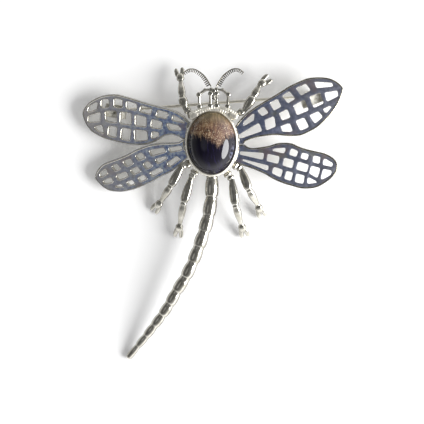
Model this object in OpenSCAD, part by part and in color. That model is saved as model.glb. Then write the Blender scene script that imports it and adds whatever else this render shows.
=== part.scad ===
// Dragonfly brooch: a cabochon in an oval setting, with four pierced wings, a segmented
// abdomen, a wirework head, two feelers, six legs and a hinged pin behind the wings.
// Millimetres. +Y points to the head, +X to the right wings, +Z up. The brooch lies on its
// catch, its hinge and the end of its abdomen, and the surface under it is at zero height.

/* [Stance] */
// Height of the wing roots above the surface that the brooch lies on
perch = 6.4; // [5.8:0.1:9]
// Distance of the stone's centre ahead of the origin
stone_ahead = 21.45; // [10:0.1:40]
// Distance of the stone's centre to the right of the origin
stone_right = 0.35; // [-5:0.05:5]

/* [Stone] */
// Length of the stone
stone_l = 18.4; // [15:0.2:24]
// Width of the stone
stone_w = 14.2; // [11:0.2:18]
// Height of the stone's straight edge
girdle_h = 1.2; // [0.8:0.1:2]
// Height of the stone's dome above its edge
dome_h = 5.2; // [3.5:0.1:7]

/* [Setting] */
// Thickness of the floor under the stone
floor_t = 1; // [0.6:0.1:1.6]
// Thickness of the bezel wall
bezel_t = 0.5; // [0.4:0.05:0.9]
// Height of the lip above the stone's straight edge
lip_h = 0.7; // [0.4:0.1:1.2]
// How far the lip reaches in over the stone
lip_in = 0.15; // [0.1:0.05:0.3]
// How far the scallops stand out from the bezel wall
scallop_out = 0.4; // [0.2:0.05:0.7]
// Number of scallops round the bezel
scallops = 36; // [20:1:50]

/* [Wings] */
// Thickness of the wing plates
wing_t = 1.4; // [0.9:0.1:2]
// Length of the upper left wing
upper_left_l = 33; // [26:0.5:42]
// Width of the upper left wing
upper_left_w = 14.6; // [11:0.2:18]
// Length of the lower left wing
lower_left_l = 29.6; // [23:0.5:36]
// Width of the lower left wing
lower_left_w = 11.4; // [9:0.2:14]
// Length of the upper right wing
upper_right_l = 33.9; // [26:0.5:42]
// Width of the upper right wing
upper_right_w = 15.3; // [11:0.2:18]
// Length of the lower right wing
lower_right_l = 30.1; // [24:0.5:38]
// Width of the lower right wing
lower_right_w = 12.9; // [10:0.2:16]
// Angle by which the upper left wing falls towards its tip
upper_left_drop = 8; // [0:0.5:9]
// Angle by which the lower left wing falls towards its tip
lower_left_drop = 10; // [0:0.5:11]
// Angle by which the left wings fall towards their trailing edge
left_roll = 8; // [0:0.5:10]

/* [Abdomen] */
// Length of the abdomen along its curve
abdomen_l = 63; // [45:0.5:80]
// Greatest width of the abdomen
abdomen_w = 3.7; // [3:0.1:5.5]
// Angle through which the abdomen curves to the left
abdomen_turn = 41; // [0:1:60]

/* [Head] */
// Width between the outer bars of the head
head_w = 8.8; // [7:0.2:12]
// Length of the head ahead of the setting
head_l = 5; // [3.5:0.1:7]
// Thickness of the head's bars
bar_d = 1.15; // [0.8:0.05:1.4]
// Diameter of the balls at the bars' ends
ball_d = 1.5; // [1.2:0.05:2]
// Sideways reach of a feeler from the head
feeler_reach = 8.2; // [6:0.1:12]
// Forward reach of a feeler from the head
feeler_rise = 5.4; // [4:0.1:9]
// Thickness of a feeler's wire at the head
feeler_d = 0.55; // [0.4:0.05:0.8]
// Length of a feeler's teeth from the middle of its wire
tooth_l = 1.25; // [0.8:0.05:1.5]
// Width of a tooth along the wire
tooth_w = 0.36; // [0.25:0.01:0.5]
// Number of teeth on a feeler
feeler_teeth = 17; // [8:1:20]

/* [Legs] */
// Width of a leg's thigh
thigh_w = 2.4; // [1.8:0.05:2.9]
// Reach of a leg's hip from the setting
hip_l = 2.6; // [2:0.1:4]
// Reach of a front leg's thigh
front_thigh = 5.8; // [4:0.1:8]
// Reach of a front leg's shin
front_shin = 4.7; // [3.5:0.1:8]
// Reach of a middle leg's thigh
middle_thigh = 6.8; // [5:0.1:10]
// Reach of a middle leg's shin
middle_shin = 5.8; // [4:0.1:9]
// Reach of a hind leg's thigh
hind_thigh = 7.8; // [5:0.1:11]
// Reach of a hind leg's shin
hind_shin = 6.8; // [5:0.1:10]
// Reach of a foot
foot_l = 4; // [3:0.1:5.5]

/* [Pin] */
// Length of the pin beyond its catch
pin_overrun = 2.6; // [2:0.1:5]
// Thickness of the pin
pin_d = 0.9; // [0.7:0.05:1.2]
// Length of the tapered end of the pin
taper_l = 11; // [6:0.5:15]
// Reach of the tapered neck beside the pin's eye
neck_l = 2.5; // [1.8:0.1:4]
// Thickness of the neck where it meets the eye
neck_d = 0.7; // [0.5:0.05:0.9]
// Thickness of the hinge rivet
rivet_d = 1; // [0.8:0.05:1.4]
// Height of the pin's eye along the rivet
eye_h = 1; // [0.9:0.05:1.4]
// Wall of the pin's eye round the rivet
eye_wall = 0.4; // [0.3:0.05:0.6]
// Thickness of each ear of the hinge
ear_t = 0.45; // [0.4:0.05:0.8]
// Angle between the rivet and the upright
rivet_lean = 30; // [15:1:40]
// Width of the catch along the pin
catch_l = 2.4; // [1.6:0.1:4]
// Thickness of the catch's hook
catch_t = 0.7; // [0.5:0.05:1]
// Room between the pin's full thickness and the inside of the hook
catch_room = 0.35; // [0.2:0.05:0.6]
// Length of the pads behind the wings
pad_l = 6.6; // [5:0.2:9]
// Width of the pads behind the wings
pad_w = 4; // [3:0.1:5.5]
// Thickness of the pads behind the wings
pad_t = 0.6; // [0.4:0.05:1]

/* [Clearances] */
// Clearance round the stone
stone_gap = 0.1; // [0.05:0.01:0.2]
// Clearance between pieces that are fitted together
seam = 0.06; // [0.03:0.01:0.15]
// Radial clearance of the pin's eye on the rivet
running = 0.05; // [0.02:0.01:0.1]
// Clearance between the pin's eye and each ear
side_gap = 0.12; // [0.08:0.01:0.2]

/* [Hidden] */

// Half the width and half the length of the setting's outside
cup = [stone_w / 2 + stone_gap + bezel_t, stone_l / 2 + stone_gap + bezel_t];
seat_z = perch + floor_t - 0.4;
cup_z = seat_z - floor_t;
stone_z = seat_z + seam;
shoulder_z = stone_z + girdle_h + seam;
rim_z = shoulder_z + lip_h;
// The scalloped band lies just above the wing plates
band_z = perch + wing_t + seam;
band_h = rim_z - band_z - 0.25;
limb_z = perch + 0.2;

OVAL_STEPS = 64;
SCALLOP_STEPS = 6;
CORNER_STEPS = 4;
SPLINE_STEPS = 3;

function oval_point(angle, out = 0) = [(cup[0] + out) * cos(angle), (cup[1] + out) * sin(angle)];
function oval(out = 0) = [for (i = [0:OVAL_STEPS - 1]) oval_point(i * 360 / OVAL_STEPS, out)];
function unit(v) = v / norm(v);
function column(table, key, value) = [for (row = table) [row[key], row[value]]];

// The place at share t of a smooth curve through points
function curve(points, t) = let (
        n = len(points) - 1,
        i = min(floor(t * n), n - 1),
        s = t * n - i,
        a = points[max(i - 1, 0)],
        b = points[i],
        c = points[i + 1],
        d = points[min(i + 2, n)])
    0.5 * (2 * b + (c - a) * s + (2 * a - 5 * b + 4 * c - d) * s * s
        + (3 * b - a - 3 * c + d) * s * s * s);
function spline(points) = let (n = (len(points) - 1) * SPLINE_STEPS)
    [for (i = [0:n]) curve(points, i / n)];

// A polygon with each corner turned into an arc of the given radius, or of less where a
// side is short
function rounded(points, radius) = let (n = len(points)) [for (i = [0:n - 1]) let (
        here = points[i],
        back = points[(i + n - 1) % n] - here,
        on = points[(i + 1) % n] - here,
        half_turn = acos(max(-1, min(1, unit(back) * unit(on)))) / 2,
        reach = min(radius / tan(half_turn), norm(back) * 0.48, norm(on) * 0.48),
        from = here + unit(back) * reach,
        to = here + unit(on) * reach)
    for (k = [0:CORNER_STEPS]) let (t = k / CORNER_STEPS)
        from * (1 - t) * (1 - t) + here * 2 * t * (1 - t) + to * t * t];

// A closed solid through rings that hold the same number of points each
module loft(rings) {
    n = len(rings[0]);
    last = len(rings) - 1;
    walls = [for (i = [0:last - 1]) for (j = [0:n - 1]) let (k = (j + 1) % n)
        for (face = [[i * n + j, i * n + k, (i + 1) * n + j],
            [i * n + k, (i + 1) * n + k, (i + 1) * n + j]]) face];
    near = [for (j = [0:n - 1]) n - 1 - j];
    far = [for (j = [0:n - 1]) last * n + j];
    polyhedron([for (ring = rings) each ring], concat(walls, [near, far]));
}

// An oval ring of points, square to the given direction
function ring(centre, along, w, h, sides) = let (
        t = unit(along),
        side = unit(cross(t, [0, 0, 1])),
        up = cross(side, t))
    [for (j = [0:sides - 1]) let (a = (j + 0.5) * 360 / sides)
        centre + side * w / 2 * cos(a) + up * h / 2 * sin(a)];

// A limb through stations that hold a place, a width and a height
module limb(stations, sides) {
    n = len(stations);
    loft([for (i = [0:n - 1]) ring(stations[i][0],
        stations[min(i + 1, n - 1)][0] - stations[max(i - 1, 0)][0],
        stations[i][1], stations[i][2], sides)]);
}

module at_stone() {
    translate([stone_right, stone_ahead, 0]) children();
}

// The space that the setting fills, with a clearance all round
module setting_space(out) {
    reach = 20;
    linear_extrude(reach) polygon(oval(out));
    translate([0, 0, band_z - out]) linear_extrude(reach) polygon(oval(scallop_out + out));
}

module setting() {
    scallop_edge = [for (i = [0:scallops * SCALLOP_STEPS - 1]) let (
            angle = i * 360 / (scallops * SCALLOP_STEPS),
            swell = abs(sin(angle * scallops / 2)))
        oval_point(angle, scallop_out * swell)];
    // The lip leans in over the stone. Its space is twice as tall as it, and so clears the rim.
    lip_taper = [1 - 2 * lip_in / (cup[0] - bezel_t), 1 - 2 * lip_in / (cup[1] - bezel_t)];
    color("silver") at_stone() difference() {
        union() {
            translate([0, 0, cup_z]) linear_extrude(rim_z - cup_z) polygon(oval());
            translate([0, 0, band_z]) linear_extrude(band_h) polygon(scallop_edge);
        }
        translate([0, 0, seat_z]) linear_extrude(shoulder_z - seat_z) polygon(oval(-bezel_t));
        translate([0, 0, shoulder_z]) linear_extrude(2 * lip_h, scale = lip_taper) polygon(oval(-bezel_t));
    }
}

// The stone's dome is half an ellipse in section, in steps of equal angle
DOME_STEPS = 8;
STONE_SIDES = 44;
module stone() {
    function level(scale, z) = [for (j = [0:STONE_SIDES - 1]) let (a = j * 360 / STONE_SIDES)
        [scale * stone_w / 2 * cos(a), scale * stone_l / 2 * sin(a), z]];
    edge_top = stone_z + girdle_h;
    dome = [for (i = [0:DOME_STEPS]) let (a = i * 86 / DOME_STEPS)
        level(cos(a), edge_top + dome_h * sin(a))];
    color("sienna") at_stone() loft(concat([level(0.97, stone_z), level(1, stone_z + 0.25)], dome));
}

// Each wing's outline, long veins and gaps. Along is a share of the wing's length from its
// root, across a share of its width from its middle line, ahead of the line above zero.

// Outline: along, leading edge, trailing edge
UPPER_LEFT_EDGE = [[-0.08, 0.1, -0.27], [0, 0.17, -0.26], [0.04, 0.25, -0.2], [0.12, 0.33, -0.16],
    [0.2, 0.37, -0.21], [0.26, 0.38, -0.32], [0.33, 0.4, -0.41], [0.41, 0.42, -0.465],
    [0.52, 0.46, -0.495], [0.6, 0.485, -0.485], [0.69, 0.505, -0.465], [0.77, 0.475, -0.44],
    [0.84, 0.42, -0.39], [0.9, 0.34, -0.325], [0.95, 0.25, -0.22], [0.985, 0.135, -0.09],
    [1, 0.02, 0.02]];
LOWER_LEFT_EDGE = [[-0.08, 0.3, -0.22], [0, 0.28, -0.23], [0.04, 0.26, -0.27], [0.14, 0.32, -0.375],
    [0.22, 0.375, -0.44], [0.33, 0.415, -0.49], [0.4, 0.415, -0.53], [0.49, 0.4, -0.565],
    [0.59, 0.35, -0.59], [0.68, 0.325, -0.59], [0.77, 0.315, -0.565], [0.85, 0.305, -0.495],
    [0.9, 0.265, -0.43], [0.95, 0.185, -0.29], [0.985, 0.09, -0.12], [1, -0.01, -0.01]];
UPPER_RIGHT_EDGE = [[-0.08, 0.05, -0.26], [0, 0.11, -0.29], [0.04, 0.17, -0.24], [0.12, 0.255, -0.245],
    [0.2, 0.305, -0.275], [0.31, 0.355, -0.345], [0.4, 0.385, -0.445], [0.5, 0.425, -0.52],
    [0.57, 0.455, -0.52], [0.66, 0.47, -0.495], [0.74, 0.47, -0.43], [0.82, 0.425, -0.35],
    [0.9, 0.345, -0.23], [0.95, 0.255, -0.125], [0.985, 0.145, -0.035], [1, 0.045, 0.045]];
LOWER_RIGHT_EDGE = [[-0.08, 0.25, -0.2], [0, 0.25, -0.225], [0.05, 0.235, -0.25], [0.09, 0.19, -0.265],
    [0.14, 0.185, -0.28], [0.22, 0.235, -0.32], [0.3, 0.3, -0.37], [0.37, 0.38, -0.435],
    [0.44, 0.42, -0.485], [0.52, 0.43, -0.525], [0.58, 0.39, -0.54], [0.67, 0.355, -0.565],
    [0.77, 0.34, -0.53], [0.85, 0.325, -0.45], [0.93, 0.265, -0.285], [0.975, 0.185, -0.15],
    [0.995, 0.09, -0.05], [1, 0.02, 0.02]];

// Long veins: along, upper vein, lower vein
UPPER_LEFT_VEINS = [[0, 0.08, -0.07], [0.12, 0.095, -0.1], [0.27, 0.12, -0.11], [0.4, 0.17, -0.12],
    [0.54, 0.2, -0.125], [0.67, 0.205, -0.125], [0.8, 0.165, -0.125], [0.89, 0.075, -0.2],
    [0.96, -0.01, -0.25]];
LOWER_LEFT_VEINS = [[0, -0.02, 0], [0.12, -0.02, -0.03], [0.2, 0.06, -0.11], [0.3, 0.065, -0.18],
    [0.45, 0.06, -0.235], [0.58, 0, -0.265], [0.72, -0.03, -0.29], [0.86, -0.05, -0.32],
    [0.95, -0.08, -0.36]];
UPPER_RIGHT_VEINS = [[0, -0.03, -0.2], [0.12, 0.02, -0.2], [0.21, 0.05, -0.22], [0.3, 0.06, -0.28],
    [0.37, 0.07, -0.165], [0.54, 0.118, -0.175], [0.66, 0.157, -0.17], [0.77, 0.19, -0.15],
    [0.84, 0.13, -0.14], [0.94, 0.085, -0.17]];
LOWER_RIGHT_VEINS = [[0, 0.1, -0.055], [0.12, 0.135, -0.07], [0.25, 0.155, -0.09], [0.31, 0.15, -0.115],
    [0.41, 0.135, -0.13], [0.53, 0.11, -0.18], [0.66, 0.066, -0.2], [0.78, 0.027, -0.25],
    [0.85, 0.01, -0.36], [0.95, 0, -0.36]];

// Gaps, in three rows from the leading edge back: from, to, lean of the ends towards the tip
UPPER_LEFT_GAPS = [
    [[0.03, 0.145, 0], [0.195, 0.295, -0.015], [0.35, 0.455, -0.01], [0.49, 0.59, 0.01],
        [0.63, 0.71, 0.01], [0.76, 0.83, 0.01], [0.865, 0.95, -0.01]],
    [[0.06, 0.18, 0.04], [0.235, 0.335, 0], [0.385, 0.49, 0.01], [0.53, 0.635, 0.01],
        [0.67, 0.775, 0.02], [0.825, 0.94, 0]],
    [[0.255, 0.32, 0], [0.36, 0.48, 0.02], [0.52, 0.61, 0], [0.655, 0.735, 0],
        [0.785, 0.86, 0.03]]];
LOWER_LEFT_GAPS = [
    [[0.02, 0.15, 0], [0.195, 0.355, 0.01], [0.425, 0.505, 0.025], [0.565, 0.65, 0.02],
        [0.715, 0.78, 0.02], [0.855, 0.94, -0.01]],
    [[0.21, 0.32, 0.02], [0.385, 0.455, 0.025], [0.52, 0.605, 0.02], [0.655, 0.775, 0.01],
        [0.83, 0.93, 0]],
    [[0.085, 0.215, 0.02], [0.295, 0.42, 0.015], [0.48, 0.56, 0.02], [0.62, 0.685, 0.02],
        [0.75, 0.815, 0.02]]];
UPPER_RIGHT_GAPS = [
    [[0.075, 0.185, 0.03], [0.24, 0.305, -0.02], [0.36, 0.435, -0.01], [0.49, 0.565, -0.025],
        [0.625, 0.72, -0.02], [0.785, 0.925, 0]],
    [[0, 0.205, 0], [0.25, 0.34, 0.02], [0.4, 0.48, 0], [0.54, 0.65, 0], [0.7, 0.795, 0],
        [0.83, 0.94, 0.01]],
    [[0.37, 0.455, 0], [0.515, 0.595, -0.01], [0.65, 0.735, -0.02], [0.775, 0.84, -0.02]]];
LOWER_RIGHT_GAPS = [
    [[0.34, 0.46, 0.01], [0.51, 0.585, 0.01], [0.625, 0.695, 0.01], [0.745, 0.815, 0],
        [0.85, 0.945, 0]],
    [[0.02, 0.26, 0], [0.295, 0.415, 0], [0.46, 0.56, 0.005], [0.6, 0.71, 0.01],
        [0.735, 0.825, 0.01], [0.855, 0.945, 0.01]],
    [[0.06, 0.325, 0], [0.37, 0.465, 0.01], [0.5, 0.57, 0.01], [0.605, 0.69, 0],
        [0.725, 0.815, -0.01]]];

// Wings: side, length, width, root's angle round the setting, heading, fall to the tip, fall
// to the trailing edge, rim, vein, outline, veins, gaps
SIDE = 0;
LENGTH = 1;
WIDTH = 2;
ROOT = 3;
HEADING = 4;
DROP = 5;
ROLL = 6;
RIM = 7;
VEIN = 8;
EDGE = 9;
VEINS = 10;
GAPS = 11;
UPPER_LEFT = [-1, upper_left_l, upper_left_w, 25, 8.7, upper_left_drop, left_roll, 1.25, 1.3,
    UPPER_LEFT_EDGE, UPPER_LEFT_VEINS, UPPER_LEFT_GAPS];
LOWER_LEFT = [-1, lower_left_l, lower_left_w, -11, -16.5, lower_left_drop, left_roll, 1.5, 1.4,
    LOWER_LEFT_EDGE, LOWER_LEFT_VEINS, LOWER_LEFT_GAPS];
UPPER_RIGHT = [1, upper_right_l, upper_right_w, 20, 21, 0, 0, 1.35, 1.5,
    UPPER_RIGHT_EDGE, UPPER_RIGHT_VEINS, UPPER_RIGHT_GAPS];
LOWER_RIGHT = [1, lower_right_l, lower_right_w, -18, -9.2, 0, 0, 1.4, 1.15,
    LOWER_RIGHT_EDGE, LOWER_RIGHT_VEINS, LOWER_RIGHT_GAPS];
// How far outside the setting a wing's root point lies, and the radius of a gap's corners
root_out = 0.4;
gap_round = 0.55;
// Height of the line, ahead of the stone's centre, where the two wings of a side meet
LEFT_PARTING = 1.15;
RIGHT_PARTING = -0.4;
parting_l = cup[0] + 2;

// Puts things in a wing's own frame: its root at the origin, its length along +X, its
// leading edge towards +Y and its underside at zero height
module in_wing_frame(wing) {
    root = oval_point(wing[ROOT], root_out);
    at_stone() mirror([wing[SIDE] < 0 ? 1 : 0, 0, 0]) translate([root[0], root[1], perch])
        rotate([0, 0, wing[HEADING]]) rotate([wing[ROLL], wing[DROP], 0]) children();
}

function wing_outline(wing, out = 0) = let (edge = wing[EDGE], last = len(edge) - 1)
    spline(concat([for (row = edge) [row[0] * wing[LENGTH], row[1] * wing[WIDTH] + out]],
        [for (i = [last - 1:-1:0]) [edge[i][0] * wing[LENGTH], edge[i][2] * wing[WIDTH] - out]]));

// The space that a wing plate fills, with a clearance on both sides and both edges
module wing_space(wing, out) {
    in_wing_frame(wing) translate([0, 0, -out]) linear_extrude(wing_t + 2 * out)
        polygon(wing_outline(wing, out));
}

// A row's upper and lower border at a share of the length: a vein or the rim, whichever
// leaves less room
function gap_top(wing, row, s) = let (
        rim = lookup(s, column(wing[EDGE], 0, 1)) * wing[WIDTH] - wing[RIM],
        vein = row == 0 ? rim : lookup(s, column(wing[VEINS], 0, row)) * wing[WIDTH] - wing[VEIN] / 2)
    min(rim, vein);
function gap_foot(wing, row, s) = let (
        rim = lookup(s, column(wing[EDGE], 0, 2)) * wing[WIDTH] + wing[RIM],
        vein = row == 2 ? rim
            : lookup(s, column(wing[VEINS], 0, row + 1)) * wing[WIDTH] + wing[VEIN] / 2)
    max(rim, vein);
function gap(wing, row, cell) = let (
        from_foot = cell[0] - cell[2] / 2,
        to_foot = cell[1] - cell[2] / 2,
        from_top = cell[0] + cell[2] / 2,
        to_top = cell[1] + cell[2] / 2)
    rounded([[from_foot * wing[LENGTH], gap_foot(wing, row, from_foot)],
        [to_foot * wing[LENGTH], gap_foot(wing, row, to_foot)],
        [to_top * wing[LENGTH], gap_top(wing, row, to_top)],
        [from_top * wing[LENGTH], gap_top(wing, row, from_top)]], gap_round);

// A plate with its gaps cut through. Paths number the points of the outline and each gap.
module wing_plate(wing) {
    loops = concat([wing_outline(wing)],
        [for (row = [0:2]) for (cell = wing[GAPS][row]) gap(wing, row, cell)]);
    starts = [for (i = 0, n = 0; i < len(loops); n = n + len(loops[i]), i = i + 1) n];
    linear_extrude(wing_t) polygon([for (one = loops) each one],
        [for (i = [0:len(loops) - 1]) [for (j = [0:len(loops[i]) - 1]) starts[i] + j]]);
}

module wing(wing, parting, upper) {
    deep = 12;
    color("slategray") difference() {
        in_wing_frame(wing) wing_plate(wing);
        at_stone() {
            setting_space(seam);
            mirror([wing[SIDE] < 0 ? 1 : 0, 0, 0])
                translate([0, upper ? parting + seam - deep : parting - seam, 0])
                    cube([parting_l, deep, 2 * perch]);
        }
    }
}

module wing_upper_left() {
    wing(UPPER_LEFT, LEFT_PARTING, true);
}

module wing_lower_left() {
    wing(LOWER_LEFT, LEFT_PARTING, false);
}

module wing_upper_right() {
    wing(UPPER_RIGHT, RIGHT_PARTING, true);
}

module wing_lower_right() {
    wing(LOWER_RIGHT, RIGHT_PARTING, false);
}

// Segments of the abdomen from the setting back: length as a share of the abdomen's, width
// as a share of its greatest, turn as a share of the whole turn
SEGMENTS = [[0.1, 1, 0.03], [0.09, 1, 0.22], [0.08, 1, 0.39], [0.078, 0.99, 0.47], [0.078, 0.97, 0.52],
    [0.081, 0.95, 0.64], [0.082, 0.93, 0.8], [0.069, 0.9, 0.71], [0.067, 0.86, 0.83],
    [0.067, 0.8, 0.91], [0.066, 0.75, 0.92], [0.067, 0.68, 0.98], [0.075, 0.58, 0.97]];
// Form of one segment: share of its length, share of its width
SEGMENT_FORM = [[0, 0.78], [0.12, 0.86], [0.45, 1], [0.82, 0.97], [0.96, 0.82]];
ABDOMEN_SIDES = 12;
abdomen_flat = 0.82;
tail_end = 0.42;

function segment_heading(i) = 270 - abdomen_turn * SEGMENTS[i][2];
function segment_start(i) = i == 0 ? [0, -cup[1] - seam]
    : segment_start(i - 1) + abdomen_l * SEGMENTS[i - 1][0]
        * [cos(segment_heading(i - 1)), sin(segment_heading(i - 1))];
function share_before(i) = i == 0 ? 0 : share_before(i - 1) + SEGMENTS[i - 1][0];
// The abdomen arches up a little behind the setting and comes down to the surface
function abdomen_height(s) = let (fall = pow(s, 2.2), end_z = abdomen_w * tail_end * abdomen_flat / 2)
    limb_z * (1 - fall) + end_z * fall + abdomen_w * 0.25 * sin(180 * s);

function abdomen_station(i, form) = let (
        heading = segment_heading(i),
        start = segment_start(i),
        reach = abdomen_l * SEGMENTS[i][0] * form[0],
        s = share_before(i) + SEGMENTS[i][0] * form[0],
        w = abdomen_w * SEGMENTS[i][1] * form[1])
    [[start[0] + reach * cos(heading), start[1] + reach * sin(heading), abdomen_height(s)],
        w, w * abdomen_flat];

module abdomen() {
    last = len(SEGMENTS) - 1;
    end_place = abdomen_station(last, [1, 1])[0];
    end_w = abdomen_w * tail_end;
    stations = concat([for (i = [0:last]) for (form = SEGMENT_FORM) abdomen_station(i, form)],
        [[end_place, end_w, end_w * abdomen_flat]]);
    color("gray") at_stone() difference() {
        limb(stations, ABDOMEN_SIDES);
        setting_space(seam);
    }
}

// The head stands on a yoke, a crescent against the setting's scallops that is covered with
// granules. Both lie a little to the right of the stone's middle, above the wing plates.
head_x = 0.6;
head_z = band_z + ball_d / 2;
yoke_w = head_w * 1.36;
yoke_l = cup[1] + scallop_out + 0.7;
YOKE_FROM = 55;
YOKE_TO = 125;
YOKE_STEPS = 20;
// Rows of granules: distance from the setting's middle as a share of the yoke's, first
// angle, last angle, number
GRANULE_ROWS = [[0.98, 55, 125, 13], [0.87, 52, 62, 3], [0.87, 118, 128, 3]];
granule_d = 1.5;
// Balls of the right half of the head: across as a share of half the width, ahead as a
// share of the length
HEAD_BALLS = [[0.95, 0], [1, 0.7], [0.22, 0.04], [0.2, 0.76]];
// Bars of the right half: from ball, to ball
HEAD_BARS = [[0, 1], [2, 3]];
crown = [0, 0.93];
crown_side = [0.18, 1];
brow = [0.6, 0.98];
nose = [0.03, 0.48];
BEAD_SIDES = 8;
BEAD_RINGS = 5;
BAR_SIDES = 8;

function yoke_point(angle, share) =
    [head_x + yoke_w * share * cos(angle), yoke_l * share * sin(angle)];
function head_place(share) = [share[0] * head_w / 2, yoke_l + share[1] * head_l, head_z];

module bar(from, to) {
    limb([[from, bar_d, bar_d], [to, bar_d, bar_d]], BAR_SIDES);
}

module bead(place, size) {
    loft([for (i = [0:BEAD_RINGS]) let (a = 15 + 150 * i / BEAD_RINGS)
        ring(place - [0, size / 2 * cos(a), 0], [0, 1, 0], size * sin(a), size * sin(a), BEAD_SIDES)]);
}

module yoke() {
    inner = [head_x, yoke_l * 0.5];
    translate([0, 0, band_z]) linear_extrude(band_h) polygon(concat([inner],
        [for (i = [0:YOKE_STEPS]) yoke_point(YOKE_FROM + (YOKE_TO - YOKE_FROM) * i / YOKE_STEPS, 1)]));
    for (row = GRANULE_ROWS) for (i = [0:row[3] - 1]) {
        spot = yoke_point(row[1] + (row[2] - row[1]) * i / (row[3] - 1), row[0]);
        bead([spot[0], spot[1], head_z], granule_d);
    }
}

module head() {
    color("silver") at_stone() difference() {
        union() {
            yoke();
            translate([head_x, 0, 0]) {
                for (flip = [0, 1]) mirror([flip, 0, 0]) {
                    for (place = HEAD_BALLS) bead(head_place(place), ball_d);
                    for (ends = HEAD_BARS)
                        bar(head_place(HEAD_BALLS[ends[0]]), head_place(HEAD_BALLS[ends[1]]));
                    bar(head_place(HEAD_BALLS[1]), head_place(brow));
                    bar(head_place(brow), head_place(crown_side));
                    bar(head_place(HEAD_BALLS[3]), head_place(crown_side));
                    bead(head_place(crown_side), ball_d * 0.9);
                }
                bead(head_place(crown), ball_d);
                bar(head_place(crown), head_place(nose));
            }
        }
        setting_space(seam);
    }
}

// Course of a feeler: out as a share of its sideways reach, ahead as a share of its forward
// reach
FEELER_COURSE = [[0, 0], [0.11, 0.3], [0.24, 0.58], [0.41, 0.8], [0.61, 0.96], [0.83, 0.95], [1, 0.75]];
FEELER_STEPS = 20;
FEELER_SIDES = 6;
TOOTH_SIDES = 5;
feeler_taper = 0.3;

// The feelers curve away from each other, with their teeth on the hollow side
module antenna() {
    start = head_place(crown_side) + [0, ball_d * 0.45 + feeler_d * 0.25 + seam, 0];
    function place(t) = let (share = curve(FEELER_COURSE, t))
        start + [share[0] * feeler_reach, share[1] * feeler_rise, 0.5 * t];
    function thin(t) = 1 - feeler_taper * t;
    limb([for (i = [0:FEELER_STEPS]) let (t = i / FEELER_STEPS)
        [place(t), feeler_d * thin(t), feeler_d * thin(t)]], FEELER_SIDES);
    for (i = [0:feeler_teeth - 1]) {
        t = (i + 1.3) / (feeler_teeth + 0.6);
        way = unit(place(t + 0.01) - place(t - 0.01));
        inward = thin(t) * tooth_l * unit([way[1], -way[0], 0]);
        w = tooth_w * thin(t);
        limb([[place(t), w, w], [place(t) + 0.6 * inward, w, w], [place(t) + inward, w / 2, w / 2]],
            TOOTH_SIDES);
    }
}

module antenna_left() {
    color("silver") at_stone() translate([head_x, 0, 0]) mirror([1, 0, 0]) antenna();
}

module antenna_right() {
    color("silver") at_stone() translate([head_x, 0, 0]) antenna();
}

// Form of a leg: station, width as a share of the thigh's. Stations run from 0 at the
// setting to 1 at the hip, 2 at the knee, 3 at the ankle and 4 at the claws.
LEG_FORM = [[0, 0.8], [0.3, 1.05], [0.58, 0.66], [0.8, 0.9], [1, 0.6], [1.1, 0.66], [1.35, 0.92],
    [1.6, 1.04], [1.86, 1], [1.96, 0.8], [2, 0.6], [2.04, 0.74], [2.1, 0.72], [2.3, 0.88], [2.5, 0.82],
    [2.8, 0.58], [2.93, 0.5], [3, 0.62], [3.06, 0.84], [3.18, 0.9], [3.35, 0.84], [3.5, 0.6]];
// Form of a claw: station, how far it spreads and how thick it is, as shares of the thigh
CLAW_FORM = [[3.2, 0.14, 0.42], [3.5, 0.34, 0.46], [3.8, 0.44, 0.4], [4, 0.38, 0.2]];
LEG_SIDES = 8;
CLAW_SIDES = 6;
// Legs: root's angle round the setting, headings of hip, thigh, shin and foot, shares of
// hip, thigh and shin, height of the claws, knee's rise above the root
FRONT_LEFT = [131, 135, 106, 97, 100, 1.46, 0.6, 1.11, 3.2, -0.1];
FRONT_RIGHT = [48, 27, 56, 62, 38, 1.77, 0.85, 0.86, 5.2, 0.2];
MIDDLE_LEFT = [216, 197, 241, 234, 231, 1, 1.02, 1.04, 0.6, -0.1];
MIDDLE_RIGHT = [322, 328, 291, 298, 292, 1, 0.97, 0.97, 0.6, -0.1];
HIND_LEFT = [233, 238, 253, 257, 258, 1, 0.99, 1.04, 0.6, -0.1];
HIND_RIGHT = [301, 310, 278, 285, 286, 1, 1, 0.94, 0.6, -0.1];

function heading(angle) = [cos(angle), sin(angle), 0];
function leg_place(s, joints) = let (i = min(floor(s), 3))
    joints[i] + (joints[i + 1] - joints[i]) * (s - i);

module leg(form, thigh, shin, wing) {
    root_2d = oval_point(form[0], thigh_w * 0.2);
    root = [root_2d[0], root_2d[1], limb_z];
    hip = root + hip_l * form[5] * heading(form[1]);
    knee = hip + thigh * form[6] * heading(form[2]) + [0, 0, form[9]];
    claw_z = form[8];
    ankle = knee + shin * form[7] * heading(form[3]) + [0, 0, (claw_z - knee[2]) * 0.6];
    toe = ankle + foot_l * heading(form[4]) + [0, 0, (claw_z - knee[2]) * 0.4];
    joints = [root, hip, knee, ankle, toe];
    spread = heading(form[4] + 90);
    color("silver") difference() {
        at_stone() {
            limb([for (row = LEG_FORM)
                [leg_place(row[0], joints), row[1] * thigh_w, row[1] * thigh_w]], LEG_SIDES);
            for (way = [-1, 1]) limb([for (row = CLAW_FORM)
                [leg_place(row[0], joints) + way * row[1] * thigh_w * spread,
                    row[2] * thigh_w, row[2] * thigh_w]], CLAW_SIDES);
        }
        at_stone() setting_space(seam);
        wing_space(wing, seam);
    }
}

module leg_front_left() {
    leg(FRONT_LEFT, front_thigh, front_shin, UPPER_LEFT);
}

module leg_front_right() {
    leg(FRONT_RIGHT, front_thigh, front_shin, UPPER_RIGHT);
}

module leg_middle_left() {
    leg(MIDDLE_LEFT, middle_thigh, middle_shin, LOWER_LEFT);
}

module leg_middle_right() {
    leg(MIDDLE_RIGHT, middle_thigh, middle_shin, LOWER_RIGHT);
}

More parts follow.
